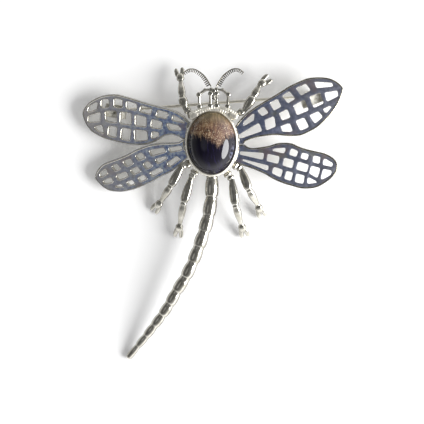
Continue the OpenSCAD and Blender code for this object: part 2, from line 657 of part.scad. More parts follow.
module leg_hind_left() {
    leg(HIND_LEFT, hind_thigh, hind_shin, LOWER_LEFT);
}

module leg_hind_right() {
    leg(HIND_RIGHT, hind_thigh, hind_shin, LOWER_RIGHT);
}

// The pin lies behind the head. The hook's underside rests on the surface.
hook_bore = pin_d / 2 + catch_room;
pin_z = hook_bore + catch_t;
// Places of the hinge, the catch and their pads: along and across the wing that each is on,
// as shares of its length and width
HINGE_AT = [0.715, 0.16];
CATCH_AT = [0.7, 0.16];
HINGE_PAD_AT = [0.7, 0.14];
CATCH_PAD_AT = [0.71, 0.08];

// The place under a wing, from the stone's centre, at shares of its length and width
function wing_spot(wing, at) = let (
        root = oval_point(wing[ROOT], root_out),
        u = at[0] * wing[LENGTH],
        v = at[1] * wing[WIDTH],
        x = u * cos(wing[DROP]) + v * sin(wing[ROLL]) * sin(wing[DROP]),
        y = v * cos(wing[ROLL]))
    [wing[SIDE] * (root[0] + x * cos(wing[HEADING]) - y * sin(wing[HEADING])),
        root[1] + x * sin(wing[HEADING]) + y * cos(wing[HEADING]),
        perch - u * sin(wing[DROP]) + v * sin(wing[ROLL]) * cos(wing[DROP])];

hinge_spot = wing_spot(UPPER_LEFT, HINGE_AT);
catch_spot = wing_spot(UPPER_RIGHT, CATCH_AT);
span = catch_spot - hinge_spot;
pin_heading = atan2(span[1], span[0]);
catch_x = norm([span[0], span[1]]);
pin_l = catch_x + pin_overrun;
eye_r = rivet_d / 2 + running + eye_wall;
ear_z = eye_h / 2 + side_gap;
rivet_head_d = rivet_d * 1.5;
rivet_head_h = 0.15;
// Place of the rivet's heads along it, from the middle of the eye
head_from = ear_z + ear_t + seam;
web_t = 0.8;
hook_r = hook_bore + catch_t;
// Half the width of the hook's mouth
mouth = pin_d / 2 + catch_room * 0.6;

// Puts things in the pin's frame: its hinge at the origin and its length along +X
module in_pin_frame() {
    at_stone() translate([hinge_spot[0], hinge_spot[1], pin_z]) rotate([0, 0, pin_heading]) children();
}

// Turns things so that +Z lies along the rivet
module along_rivet() {
    rotate([rivet_lean, 0, 0]) children();
}

module pin_stem() {
    neck_from = rivet_d / 2 + running + eye_wall / 2;
    shaft_to = pin_l - taper_l;
    color("silver") in_pin_frame() along_rivet() union() {
        difference() {
            translate([0, 0, -eye_h / 2]) cylinder(r = eye_r, h = eye_h, $fn = 48);
            translate([0, 0, -eye_h]) cylinder(d = rivet_d + 2 * running, h = 2 * eye_h, $fn = 48);
        }
        rotate([0, 90, 0]) {
            translate([0, 0, neck_from])
                cylinder(d1 = neck_d, d2 = pin_d, h = neck_l - neck_from, $fn = 36);
            translate([0, 0, neck_l]) cylinder(d = pin_d, h = shaft_to - neck_l, $fn = 36);
            translate([0, 0, shaft_to]) cylinder(d1 = pin_d, d2 = pin_d * 0.25, h = taper_l, $fn = 36);
        }
    }
}

module hinge_rivet() {
    color("gray") in_pin_frame() along_rivet() union() {
        translate([0, 0, -head_from]) cylinder(d = rivet_d, h = 2 * head_from, $fn = 48);
        for (flip = [0, 1]) mirror([0, 0, flip]) translate([0, 0, head_from])
            cylinder(d = rivet_head_d, h = rivet_head_h, $fn = 48);
    }
}

// A pad against the underside of a wing
module pad(wing, at) {
    in_wing_frame(wing) translate([at[0] * wing[LENGTH] - pad_l / 2, at[1] * wing[WIDTH] - pad_w / 2,
        -seam - pad_t]) cube([pad_l, pad_w, pad_t]);
}

module pin_hinge() {
    back = eye_r + side_gap + web_t;
    stack = 2 * (ear_z + ear_t);
    neck_h = wing_spot(UPPER_LEFT, HINGE_AT)[2] - seam - pad_t * 0.5 - pin_z;
    color("silver") difference() {
        union() {
            pad(UPPER_LEFT, HINGE_PAD_AT);
            in_pin_frame() {
                along_rivet() {
                    for (flip = [0, 1]) mirror([0, 0, flip]) translate([0, 0, ear_z]) {
                        cylinder(r = eye_r, h = ear_t, $fn = 48);
                        translate([-back, -eye_r, 0]) cube([back, 2 * eye_r, ear_t]);
                    }
                    translate([-back, -eye_r, -stack / 2]) cube([web_t, 2 * eye_r, stack]);
                }
                translate([-back, -eye_r, 0]) cube([web_t, 2 * eye_r, neck_h]);
            }
        }
        in_pin_frame() along_rivet() {
            translate([0, 0, -stack]) cylinder(d = rivet_d + 2 * seam, h = 2 * stack, $fn = 48);
            for (flip = [0, 1]) mirror([0, 0, flip]) translate([0, 0, ear_z + ear_t])
                cylinder(d = rivet_head_d + 2 * seam, h = rivet_head_h + 2 * seam, $fn = 48);
        }
    }
}

module pin_catch() {
    far = 2 * hook_r;
    post_from = hook_bore + catch_t * 0.2;
    post_to = perch - seam - pad_t * 0.5 - pin_z;
    color("silver") union() {
        pad(UPPER_RIGHT, CATCH_PAD_AT);
        in_pin_frame() translate([catch_x - catch_l / 2, 0, 0]) {
            rotate([0, 90, 0]) difference() {
                cylinder(r = hook_r, h = catch_l, $fn = 48);
                translate([0, 0, -catch_l]) cylinder(r = hook_bore, h = 3 * catch_l, $fn = 48);
                rotate([0, 0, rivet_lean]) translate([-mouth, -far, -catch_l])
                    cube([2 * mouth, far, 3 * catch_l]);
            }
            translate([0, -hook_r * 0.5, post_from]) cube([catch_l, hook_r, post_to - post_from]);
        }
    }
}

setting();
stone();
wing_upper_left();
wing_lower_left();
wing_upper_right();
wing_lower_right();
abdomen();
head();
antenna_left();
antenna_right();
leg_front_left();
leg_front_right();
leg_middle_left();
leg_middle_right();
leg_hind_left();
leg_hind_right();
pin_hinge();
hinge_rivet();
pin_stem();
pin_catch();
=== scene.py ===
"""Dragonfly brooch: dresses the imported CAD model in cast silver, blued plates and hawk's-eye."""

import math
from functools import partial

import bmesh
import bpy
from bpy.props import FloatProperty, FloatVectorProperty, IntProperty, PointerProperty
from mathutils import Matrix, Vector


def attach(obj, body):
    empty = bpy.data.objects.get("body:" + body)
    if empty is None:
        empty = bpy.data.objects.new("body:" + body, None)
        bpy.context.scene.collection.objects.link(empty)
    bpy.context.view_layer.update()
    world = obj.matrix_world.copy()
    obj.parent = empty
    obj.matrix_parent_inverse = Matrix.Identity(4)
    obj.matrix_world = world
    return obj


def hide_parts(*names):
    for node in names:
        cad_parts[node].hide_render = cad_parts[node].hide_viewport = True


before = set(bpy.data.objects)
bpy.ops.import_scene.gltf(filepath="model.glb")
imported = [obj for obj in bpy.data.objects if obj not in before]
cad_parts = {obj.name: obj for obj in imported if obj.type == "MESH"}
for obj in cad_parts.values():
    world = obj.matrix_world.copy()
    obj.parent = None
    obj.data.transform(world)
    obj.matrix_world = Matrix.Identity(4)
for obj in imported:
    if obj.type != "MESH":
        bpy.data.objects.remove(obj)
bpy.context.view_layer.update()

bl_info = {
    "name": "Dragonfly brooch",
    "version": (1, 0, 0),
    "blender": (4, 5, 0),
    "location": "View3D > Sidebar > Brooch",
    "description": "Builds the visible pieces of a dragonfly brooch over its CAD model",
    "category": "Object",
}

MM = 0.001
BODY = "brooch"
# CAD points closer than this, in metres, are one
MERGE = 2e-6

# Sizes are in millimetres and angles in degrees. Places, lengths and widths are the CAD model's.
# The finer forms along them are drawn here.
STONE_AT = Vector((0.35, 21.45, 0.0))
PERCH = 6.4
WING_T = 1.4
SEAM = 0.06
STONE_W = 14.2
STONE_L = 18.4
STONE_GAP = 0.1
BEZEL_T = 0.5
CUP = Vector((STONE_W / 2 + STONE_GAP + BEZEL_T, STONE_L / 2 + STONE_GAP + BEZEL_T))
SEAT_Z = PERCH + 0.6
CUP_Z = SEAT_Z - 1.0
STONE_Z = SEAT_Z + SEAM
GIRDLE_H = 1.2
DOME_H = 5.2
SHOULDER_Z = STONE_Z + GIRDLE_H + SEAM
RIM_Z = SHOULDER_Z + 0.7
BAND_Z = PERCH + WING_T + SEAM
BAND_H = RIM_Z - BAND_Z - 0.25
SCALLOP_OUT = 0.4
LIMB_Z = PERCH + 0.2
# Section of the cup: how far out of its wall and how high, from under its floor up its outside,
# over the lip and down inside
CUP_SECTION = (
    (-3.0, CUP_Z), (-0.25, CUP_Z), (0, CUP_Z + 0.25), (0, RIM_Z - 0.75), (0.2, RIM_Z - 0.55),
    (0.22, RIM_Z - 0.42), (-0.05, RIM_Z - 0.08), (-0.15, RIM_Z), (-0.25, RIM_Z), (-0.34, RIM_Z - 0.06),
    (-BEZEL_T - 0.15, RIM_Z - 0.36), (-BEZEL_T - 0.15, SHOULDER_Z), (-BEZEL_T, SHOULDER_Z),
    (-BEZEL_T, SEAT_Z), (-3.0, SEAT_Z),
)
CUP_CREASE = 40
BEZEL_BEAD_R = 0.4
BEZEL_BEAD_OUT = 0.02
OVAL_SIDES = 96
# The dome rises in this many rings to this angle of a quarter round, where its top is level
DOME_LEVELS = 30
DOME_REACH = 86
STONE_CREASE = 50

ABDOMEN_L = 63.0
ABDOMEN_W = 3.7
ABDOMEN_TURN = 41.0
ABDOMEN_FLAT = 0.82
TAIL_END = 0.42
# The abdomen arches by this share of its width, and comes down with this power of the way along
ABDOMEN_ARCH = 0.25
ABDOMEN_FALL = 2.2
# Its rings against the CAD model's: wider at the root, less this much at the tail, and taller
ABDOMEN_WIDER = 1.1
ABDOMEN_TAPER = 0.13
ABDOMEN_TALLER = 1.12
# Tops are pressed nearly level above this share of the half height, and keep this much of the rest
ABDOMEN_SHOULDER = 0.77
TOP_KEPT = 0.12
ABDOMEN_SIDES = 36
# Segments: share of the length, of the width, of the turn
SEGMENTS = (
    (0.1, 1, 0.03), (0.09, 1, 0.22), (0.08, 1, 0.39), (0.078, 0.99, 0.47), (0.078, 0.97, 0.52),
    (0.081, 0.95, 0.64), (0.082, 0.93, 0.8), (0.069, 0.9, 0.71), (0.067, 0.86, 0.83),
    (0.067, 0.8, 0.91), (0.066, 0.75, 0.92), (0.067, 0.68, 0.98), (0.075, 0.58, 0.97),
)
# Places on the line in each segment
SEGMENT_PLACES = 6
# Form of a segment: share of its length, of its width
BARREL = ((0, 0.7), (0.05, 0.9), (0.1, 0.82), (0.2, 0.9), (0.5, 1), (0.8, 0.98), (0.92, 0.9), (1, 0.68))

HEAD_W = 8.8
HEAD_L = 5.0
HEAD_X = 0.6
BAR_D = 1.15
BAR_R = BAR_D * 0.42
BALL_D = 1.5
FOOT_BALL_D = BALL_D * 1.08
CROWN_BALL_D = BALL_D * 0.9
HEAD_Z = BAND_Z + BALL_D / 2
GRANULE_Z = HEAD_Z + 0.1
YOKE_W = HEAD_W * 1.36
YOKE_L = CUP.y + SCALLOP_OUT + 0.7
YOKE_ARC = (55, 125)
YOKE_STEPS = 24
# The yoke's inner side runs this far out of the cup's wall
YOKE_CLEAR = SCALLOP_OUT * 0.3
# Places in the head: share of its half width, of its length
HEAD_BALLS = ((0.95, 0), (1, 0.7), (0.22, 0.04), (0.2, 0.76))
CROWN = (0, 0.93)
CROWN_SIDE = (0.18, 1)
BROW = (0.6, 0.98)
NOSE = (0.03, 0.48)
# Rows of granules on the yoke: share of its reach, first and last angle, how many, their size
GRANULE_ROWS = (
    (0.99, 56, 124, 23, 1.05), (0.92, 55, 125, 21, 1.0), (0.9, 53, 61, 3, 1.6), (0.9, 119, 127, 3, 1.6),
)
# Granules lie back by this share of the yoke's reach. They differ in size by up to a share, and
# by a number of times as many degrees in place.
GRANULE_BACK = 0.02
GRANULE_UNEVEN = 0.2
GRANULE_STRAY = 5
# Shares of the radius: beads are pressed nearly level above their shoulder and cut level at their
# foot, and bars are pressed above theirs
BEAD_SHOULDER = 0.7
BEAD_FOOT = -0.75
BAR_SHOULDER = 0.85
BAR_SIDES = 18
TUBE_SIDES = 12

FEELER_REACH = 8.2
FEELER_RISE = 5.4
FEELER_D = 0.55
FEELER_R = FEELER_D * 0.38
# A feeler starts this far ahead of the middle of its ball on the crown
FEELER_START = BALL_D * 0.45 + FEELER_D * 0.25 + SEAM
FEELER_TAPER = 0.3
FEELER_LIFT = 0.5
FEELER_STEPS = 48
TOOTH_L = 1.25
TOOTH_W = 0.36 * 1.2
TEETH = 17
# The teeth stand between these shares of the wire's length
TEETH_FROM = 0.07
TEETH_TO = 0.985
FEELER_COURSE = ((0, 0), (0.11, 0.3), (0.24, 0.58), (0.41, 0.8), (0.61, 0.96), (0.83, 0.95), (1, 0.75))

THIGH_W = 2.4
# A leg starts this far out of the setting's wall
LEG_OUT = THIGH_W * 0.2
FOOT_L = 4.0
# Station from 0 at the setting to 1 at the hip, 2 at the knee, 3 at the ankle and 4 at the
# claws, and the width there as a share of the thigh's
LEG_FORM = (
    (0, 0.8), (0.3, 1.05), (0.58, 0.66), (0.8, 0.9), (1, 0.6), (1.1, 0.66), (1.35, 0.92), (1.6, 1.04),
    (1.86, 1), (1.96, 0.8), (2, 0.6), (2.04, 0.74), (2.1, 0.72), (2.3, 0.88), (2.5, 0.82), (2.8, 0.58),
    (2.93, 0.5), (3, 0.62), (3.06, 0.84), (3.18, 0.9), (3.35, 0.84), (3.5, 0.6),
)
LEG_WIDER = 1.1
LEG_SIDES = 20
LEG_CREASE = 60
# Form of a claw: station, how far it spreads, how thick it is
CLAW_FORM = ((3.2, 0.15, 0.52), (3.5, 0.32, 0.6), (3.8, 0.4, 0.53), (3.95, 0.37, 0.34))
CLAW_HEIGHT = 1.1
CLAW_SIDES = 16
# Shares of the half height that are pressed nearly level on top, and what they keep of it
LEG_PRESS = 0.28
CLAW_PRESS = 0.4
LIMB_KEPT = 0.3
# Root's angle round the setting, headings of hip, thigh, shin and foot, reaches of hip,
# thigh and shin, height of the claws, knee's rise
LEGS = {
    "leg_front_left": (131, 135, 106, 97, 100, 2.6 * 1.46, 5.8 * 0.6, 4.7 * 1.11, 3.2, -0.1),
    "leg_front_right": (48, 27, 56, 62, 38, 2.6 * 1.77, 5.8 * 0.85, 4.7 * 0.86, 5.2, 0.2),
    "leg_middle_left": (216, 197, 241, 234, 231, 2.6, 6.8 * 1.02, 5.8 * 1.04, 0.6, -0.1),
    "leg_middle_right": (322, 328, 291, 298, 292, 2.6, 6.8 * 0.97, 5.8 * 0.97, 0.6, -0.1),
    "leg_hind_left": (233, 238, 253, 257, 258, 2.6, 7.8 * 0.99, 6.8 * 1.04, 0.6, -0.1),
    "leg_hind_right": (301, 310, 278, 285, 286, 2.6, 7.8, 6.8 * 0.94, 0.6, -0.1),
}
# The shin comes down by this share of the way from the knee to the claws, the foot by the rest
SHIN_DROP = 0.6

WINGS = ("wing_upper_left", "wing_lower_left", "wing_upper_right", "wing_lower_right")
# Angles between a plate's faces: up to the first they are one face, from the second their edge is
# bevelled, and from the third it stays a crease
PLATE_FLAT = 1.5
PLATE_BEVEL = 50
PLATE_CREASE = 28
# A plate's upper face has normals higher than the first of these, and its walls lower ones than
# the second
LEVEL_NORMAL = 0.9
WALL_NORMAL = 0.6
# A rim's tube lies below the plate's upper edge by this share of its radius
RIM_DEPTH = 0.7
FITTINGS = ("pin_hinge", "hinge_rivet", "pin_stem", "pin_catch")

# The world's light, from level and below to straight up: height of its direction, grey
SKY = ((0.0, 1.2), (0.33, 1.05), (0.5, 0.62), (0.64, 0.34), (0.86, 0.25), (0.98, 0.19))
WALL_TOWARD = (-0.47, -0.05, 0.88)
# The window and what it shines at, in metres
WINDOW_AT = Vector((0.425, -0.1, 0.25))
WINDOW_TOWARD = Vector((0, 0.0215, 0.01))
WINDOW_SIZE = (0.42, 0.3)
FLOOR_SIZE = 3.0
FLOOR_Z = -0.0002


# Helpers


def linear(code):
    """An sRGB hex colour as linear red, green, blue and alpha."""
    parts = [int(code[i : i + 2], 16) / 255 for i in (1, 3, 5)]
    return [c / 12.92 if c <= 0.04045 else ((c + 0.055) / 1.055) ** 2.4 for c in parts] + [1.0]


def feed(node, sockets):
    """Feeds a node's inputs, given by name or number, or as a row in their order. Each gets a
    value, or is linked to an output or to a node's first output."""
    for key, value in sockets.items() if isinstance(sockets, dict) else enumerate(sockets):
        if isinstance(value, bpy.types.Node):
            value = value.outputs[0]
        if isinstance(value, bpy.types.NodeSocket):
            node.id_data.links.new(value, node.inputs[key])
        else:
            node.inputs[key].default_value = value


def add_node(tree, kind, sockets=(), **settings):
    """Adds a node with its settings, and feeds it."""
    made = tree.nodes.new(kind)
    for key, value in settings.items():
        setattr(made, key, value)
    feed(made, sockets)
    return made


def set_stops(ramp, stops):
    """Sets a colour ramp's stops, each a place and a colour."""
    ends = ramp.color_ramp.elements
    for place, _ in stops[1:-1]:
        ends.new(place)
    for end, (place, colour) in zip(ends, stops):
        end.position = place
        end.color = colour
    return ramp


def set_points(curve, points):
    """Sets a float curve's points."""
    line = curve.mapping.curves[0]
    for x, y in points[1:-1]:
        line.points.new(x, y)
    line.points[0].location = points[0]
    line.points[-1].location = points[-1]
    curve.mapping.update()
    return curve


def add_object(name, data):
    made = bpy.data.objects.new(name, data)
    bpy.context.scene.collection.objects.link(made)
    return made


def plain_mesh(source, name):
    """The evaluated object as a new object with a plain mesh. The source is removed."""
    bpy.context.view_layer.update()
    graph = bpy.context.evaluated_depsgraph_get()
    mesh = bpy.data.meshes.new_from_object(source.evaluated_get(graph))
    old = source.data
    bpy.data.objects.remove(source)
    if old.users == 0:
        bpy.data.meshes.remove(old)
    mesh.name = name
    return add_object(name, mesh)


def finish_piece(piece, finish, slot, *nodes):
    """Gives a piece its material and its body, and hides the CAD nodes that it stands for."""
    piece.data.materials.clear()
    piece.data.materials.append(finish)
    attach(piece, BODY)
    if nodes:
        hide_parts(*nodes)


def smooth(mesh, angle):
    """Shades faces smooth, with sharp edges where they meet at more than an angle."""
    form = bmesh.new()
    form.from_mesh(mesh)
    for face in form.faces:
        face.smooth = True
    for edge in form.edges:
        edge.smooth = len(edge.link_faces) != 2 or edge.calc_face_angle(0) < math.radians(angle)
    form.to_mesh(mesh)
    form.free()


def form_object(form, name):
    """Turns a bmesh into an object, and frees it."""
    mesh = bpy.data.meshes.new(name)
    form.to_mesh(mesh)
    form.free()
    return add_object(name, mesh)


def cast_piece(name, skins, crease, finish, slot, node):
    """Makes a finished piece of closed skins, each of them rings of points in millimetres that
    are joined in their order. It is smooth but for creases of more than an angle."""
    form = bmesh.new()
    for rings in skins:
        rows = [[form.verts.new(Vector(p) * MM) for p in ring] for ring in rings]
        for near, far in zip(rows, rows[1:]):
            for i in range(len(near)):
                k = (i + 1) % len(near)
                form.faces.new((near[i], near[k], far[k], far[i]))
        form.faces.new(rows[0][::-1])
        form.faces.new(rows[-1])
    bmesh.ops.recalc_face_normals(form, faces=form.faces)
    piece = form_object(form, name)
    if crease:
        smooth(piece.data, crease)
    finish_piece(piece, finish, slot, node)


def merged_copy(node):
    """A CAD node's mesh as a bmesh with its points merged."""
    form = bmesh.new()
    form.from_mesh(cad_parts[node].data)
    bmesh.ops.remove_doubles(form, verts=form.verts, dist=MERGE)
    return form


def up(height):
    return Vector((0, 0, height))


def heading(angle):
    a = math.radians(angle)
    return Vector((math.cos(a), math.sin(a), 0))


def along(places, i):
    """The direction at a place in a row of places."""
    return places[min(i + 1, len(places) - 1)] - places[max(i - 1, 0)]


def oval(angle, half_w, half_l):
    way = heading(angle)
    return Vector((half_w * way.x, half_l * way.y, 0))


def cup_point(angle, out=0.0):
    """A place round the setting, out of its wall by some millimetres."""
    return STONE_AT + oval(angle, CUP.x + out, CUP.y + out)


def head_point(share, side=1):
    """A place in the head, by its shares of the half width and of the length."""
    return STONE_AT + Vector((HEAD_X + side * share[0] * HEAD_W / 2, YOKE_L + share[1] * HEAD_L, HEAD_Z))


def limb_rings(spots, sides, press):
    """Oval rings of points along a limb, pressed nearly level on top. Each spot is a place, a
    width and a height."""
    places = [place for place, _, _ in spots]
    rings = []
    for i, (centre, width, height) in enumerate(spots):
        way = along(places, i).normalized()
        across = way.cross(up(1)).normalized()
        over = across.cross(way)
        points = []
        for j in range(sides):
            a = (j + 0.5) * math.tau / sides
            lift = math.sin(a)
            if lift > 1 - press:
                lift = 1 - press + (lift - 1 + press) * LIMB_KEPT
            points.append(centre + across * (width / 2 * math.cos(a)) + over * (height / 2 * lift))
        rings.append(points)
    return rings


def curve_place(points, t):
    """The place at share t of a smooth curve through points."""
    n = len(points) - 1
    i = min(int(t * n), n - 1)
    s = t * n - i
    a, b, c, d = (Vector(points[min(max(k, 0), n)]) for k in (i - 1, i, i + 1, i + 2))
    return 0.5 * (2 * b + (c - a) * s + (2 * a - 5 * b + 4 * c - d) * s**2 + (3 * b - a - 3 * c + d) * s**3)


# Trees of Geometry Nodes


def new_tree(name, sizes):
    """Starts a tree with inputs for the geometry, for each size and its kind, and for the
    material. Gives what adds its nodes, its inputs and the line that the geometry forms."""
    tree = bpy.data.node_groups.new(name, "GeometryNodeTree")
    for size, kind in {"Geometry": "Geometry", **sizes, "Material": "Material"}.items():
        tree.interface.new_socket(size, in_out="INPUT", socket_type="NodeSocket" + kind)
    tree.interface.new_socket("Geometry", in_out="OUTPUT", socket_type="NodeSocketGeometry")
    add = partial(add_node, tree)
    given = add("NodeGroupInput").outputs
    return add, given, add("GeometryNodeMeshToCurve", {"Mesh": given["Geometry"]})


def end_tree(add, given, *parts):
    """Joins a tree's parts, realizes them and gives them the material."""
    joined = add("GeometryNodeJoinGeometry")
    for part in parts:
        feed(joined, (part,))
    real = add("GeometryNodeRealizeInstances", {"Geometry": joined})
    made = add("GeometryNodeSetMaterial", {"Geometry": real, "Material": given["Material"]})
    add("NodeGroupOutput", (made,))
    return joined.id_data


def run_tree(tree, base, values, name, slot, node):
    """Runs a tree on a line mesh with named values, and finishes its plain mesh as a piece."""
    source = add_object(name + "_source", base)
    modifier = source.modifiers.new("Nodes", "NODES")
    modifier.node_group = tree
    for item in tree.interface.items_tree:
        if item.in_out == "INPUT" and item.name in values:
            modifier[item.identifier] = values[item.name]
    finish_piece(plain_mesh(source, name), values["Material"], slot, node)


def line_mesh(name, points, edges, **floats):
    """A mesh of points and edges in millimetres with named numbers on its points."""
    mesh = bpy.data.meshes.new(name)
    mesh.from_pydata([Vector(p) * MM for p in points], edges, [])
    for key, values in floats.items():
        layer = mesh.attributes.new(key, "FLOAT", "POINT")
        layer.data.foreach_set("value", [float(v) for v in values])
    return mesh


def chain(count):
    return [(i, i + 1) for i in range(count - 1)]


def pressed(add, shape, axis, shoulder, scale=1.0, foot=-1.0):
    """Presses a shape of radius 1 nearly level above its shoulder, cuts it level at its foot and
    scales its height, which lies along an axis."""
    place = add("GeometryNodeInputPosition")
    spot = add("ShaderNodeSeparateXYZ", (place,)).outputs
    low = add("ShaderNodeMath", (spot[axis], shoulder), operation="MINIMUM")
    over = add("ShaderNodeMath", (spot[axis], low), operation="SUBTRACT")
    rise = add("ShaderNodeMath", (over, TOP_KEPT), operation="MULTIPLY")
    top = add("ShaderNodeMath", (low, rise), operation="ADD")
    level = add("ShaderNodeMath", (top, foot), operation="MAXIMUM")
    sockets = {key: spot[key] for key in "XYZ"}
    sockets[axis] = add("ShaderNodeMath", (level, scale), operation="MULTIPLY")
    moved = add("ShaderNodeCombineXYZ", sockets)
    return add("GeometryNodeSetPosition", {"Geometry": shape, "Position": moved})


def barrel_tree():
    """Sweeps a flat-topped section along a line and swells it once for each segment."""
    sizes = {"Steps": "Int", "Sides": "Int", "Flatness": "Float", "Shoulder": "Float"}
    add, given, line = new_tree("Barrel segments", sizes)
    line = add("GeometryNodeResampleCurve", {"Curve": line, "Count": given["Steps"]})
    line = add("GeometryNodeSetCurveNormal", {"Curve": line}, mode="Z_UP")
    segment = add("GeometryNodeInputNamedAttribute", {"Name": "segment"})
    half_width = add("GeometryNodeInputNamedAttribute", {"Name": "half_width"})
    share = add("ShaderNodeMath", (segment,), operation="FRACT")
    swell = set_points(add("ShaderNodeFloatCurve", {"Value": share}), BARREL)
    radius = add("ShaderNodeMath", (swell, half_width), operation="MULTIPLY")
    circle = add("GeometryNodeCurvePrimitiveCircle", {"Resolution": given["Sides"], "Radius": 1.0})
    section = pressed(add, circle, "Y", given["Shoulder"], given["Flatness"])
    skin = add("GeometryNodeCurveToMesh", {
        "Curve": line, "Profile Curve": section, "Scale": radius, "Fill Caps": True})
    return end_tree(add, given, add("GeometryNodeSetShadeSmooth", {"Geometry": skin}))


def bead_tree():
    """Puts a bead on every point, as large as the point says, and a bar on every edge."""
    add, given, line = new_tree("Beads and bars", {"Bar radius": "Float", "Bead detail": "Int"})
    detail = given["Bead detail"]
    levels = add("ShaderNodeMath", (detail, 0.5), operation="MULTIPLY")
    ball = add("GeometryNodeMeshUVSphere", {"Segments": detail, "Rings": levels, "Radius": 1.0})
    bead = pressed(add, ball, "Z", BEAD_SHOULDER, foot=BEAD_FOOT)
    soft = add("GeometryNodeSetShadeSmooth", {"Geometry": bead})
    points = add("GeometryNodeMeshToPoints", {"Mesh": given["Geometry"]})
    size = add("GeometryNodeInputNamedAttribute", {"Name": "bead"})
    beads = add("GeometryNodeInstanceOnPoints", {"Points": points, "Instance": soft, "Scale": size})
    line = add("GeometryNodeSetCurveNormal", {"Curve": line}, mode="Z_UP")
    circle = add("GeometryNodeCurvePrimitiveCircle", {"Resolution": BAR_SIDES, "Radius": 1.0})
    section = pressed(add, circle, "Y", BAR_SHOULDER)
    bars = add("GeometryNodeCurveToMesh", {
        "Curve": line, "Profile Curve": section, "Scale": given["Bar radius"], "Fill Caps": True})
    return end_tree(add, given, add("GeometryNodeSetShadeSmooth", {"Geometry": bars}), beads)


def tube_tree():
    """Runs round tubes along lines whose points say how thick they are."""
    add, given, line = new_tree("Tubes", {})
    circle = add("GeometryNodeCurvePrimitiveCircle", {"Resolution": TUBE_SIDES, "Radius": 1.0})
    thick = add("GeometryNodeInputNamedAttribute", {"Name": "tube"})
    skin = add("GeometryNodeCurveToMesh", {
        "Curve": line, "Profile Curve": circle, "Scale": thick, "Fill Caps": True})
    return end_tree(add, given, add("GeometryNodeSetShadeSmooth", {"Geometry": skin}))


def feeler_tree():
    """A wire along a line with a row of blunt teeth that stand on its inner side."""
    sizes = {"Wire radius": "Float", "Teeth": "Int", "Tooth length": "Float", "Tooth width": "Float"}
    add, given, line = new_tree("Toothed wire", sizes)
    taper, inward_x, inward_y = (
        add("GeometryNodeInputNamedAttribute", {"Name": name}) for name in ("taper", "inward_x", "inward_y"))
    circle = add("GeometryNodeCurvePrimitiveCircle", {
        "Resolution": TUBE_SIDES, "Radius": given["Wire radius"]})
    wire = add("GeometryNodeCurveToMesh", {
        "Curve": line, "Profile Curve": circle, "Scale": taper, "Fill Caps": True})
    inner = add("GeometryNodeTrimCurve", {"Curve": line, "Start": TEETH_FROM, "End": TEETH_TO})
    points = add("GeometryNodeCurveToPoints", {"Curve": inner, "Count": given["Teeth"]}, mode="COUNT")
    # A tooth is an eight-sided cone, rolled until a flat side is up, laid down and then sized
    tooth = add("GeometryNodeMeshCone", {
        "Vertices": 8, "Side Segments": 2, "Fill Segments": 1, "Radius Top": 0.4, "Radius Bottom": 0.54,
        "Depth": 1.0})
    size = add("ShaderNodeCombineXYZ", (given["Tooth length"], given["Tooth width"], given["Tooth width"]))
    for move in ({"Rotation": (0, 0, math.tau / 16)}, {"Rotation": (0, math.tau / 4, 0)}, {"Scale": size}):
        tooth = add("GeometryNodeTransform", {"Geometry": tooth, **move})
    inward = add("ShaderNodeCombineXYZ", (inward_x, inward_y))
    turned = add("FunctionNodeAlignRotationToVector", {"Vector": inward}, axis="X")
    teeth = add("GeometryNodeInstanceOnPoints", {
        "Points": points, "Instance": tooth, "Rotation": turned, "Scale": taper})
    return end_tree(add, given, wire, teeth)


# Materials


# A colour Mix node's sockets: its share, the colours under and over, and what comes out. A Map
# Range node's row is its value, the range that it comes from and the one that it goes to.
SHARE, UNDER, OVER, MIXED = 0, 6, 7, 2


def per_mm(size):
    """The scale of a noise whose patches are about this many millimetres wide."""
    return 1 / (size * MM)


def new_material(name):
    """Starts a material. Gives it, what adds its nodes, its shader and the place on the piece."""
    made = bpy.data.materials.new(name)
    made.use_nodes = True
    add = partial(add_node, made.node_tree)
    return made, add, made.node_tree.nodes["Principled BSDF"], add("ShaderNodeTexCoord").outputs["Object"]


def facing_up(add, low, high):
    """How far a face looks up: 0 where its normal's height is low, 1 where it is high."""
    normal = add("ShaderNodeNewGeometry").outputs["Normal"]
    height = add("ShaderNodeSeparateXYZ", (normal,)).outputs["Z"]
    return add("ShaderNodeMapRange", (height, low, high), interpolation_type="SMOOTHSTEP")


def cast_metal(name, dark, light, low, roughness, grain, depth):
    """Cast white metal in two tones that run into each other in soft clouds, with the shallow
    ripples of a casting and a third tone on its sides, where they face away from straight up: painted
    shade. Its finish lies in how rough it is, and in how wide and deep its ripples are, in millimetres."""
    made, add, shader, place = new_material(name)
    clouds, wear, ripples = (
        add("ShaderNodeTexNoise", {"Vector": place, "Scale": per_mm(width), "Detail": 2.0})
        for width in (2 * grain, 0.6, grain))
    tones = set_stops(add("ShaderNodeValToRGB", (clouds,)), ((0.35, dark), (0.6, light)))
    # Painted shade: faces that look sideways take the low tone, faces that look up the clouded tones
    sockets = {SHARE: facing_up(add, 0.15, 0.72), UNDER: linear(low), OVER: tones}
    colour = add("ShaderNodeMix", sockets, data_type="RGBA")
    worn = add("ShaderNodeMapRange", (wear, 0.35, 0.65, roughness - 0.04, roughness + 0.04))
    bump = add("ShaderNodeBump", {"Height": ripples, "Distance": depth * MM, "Strength": 1.0})
    feed(shader, {"Base Color": colour.outputs[MIXED], "Metallic": 1.0, "Roughness": worn, "Normal": bump})
    return made


def cast_silver(colours):
    """Tumbled bright: mirror-like, so that it shows dark tops and white sides."""
    # The third colour, #6d695f, is painted shade on the sides
    return cast_metal("cast_silver", colours.silver_dark, colours.silver, "#6d695f", 0.12, 0.9, 0.02)


def satin_silver(colours):
    """Brushed, with wide soft lights. Its colour is painted paler than the polished silver's: painted light.
    """
    # The paler colours are painted light, and the third one, #cfcbc0, is painted shade on the sides
    return cast_metal("satin_silver", linear("#dedacf"), linear("#f0ede3"), "#cfcbc0", 0.5, 0.8, 0.02)


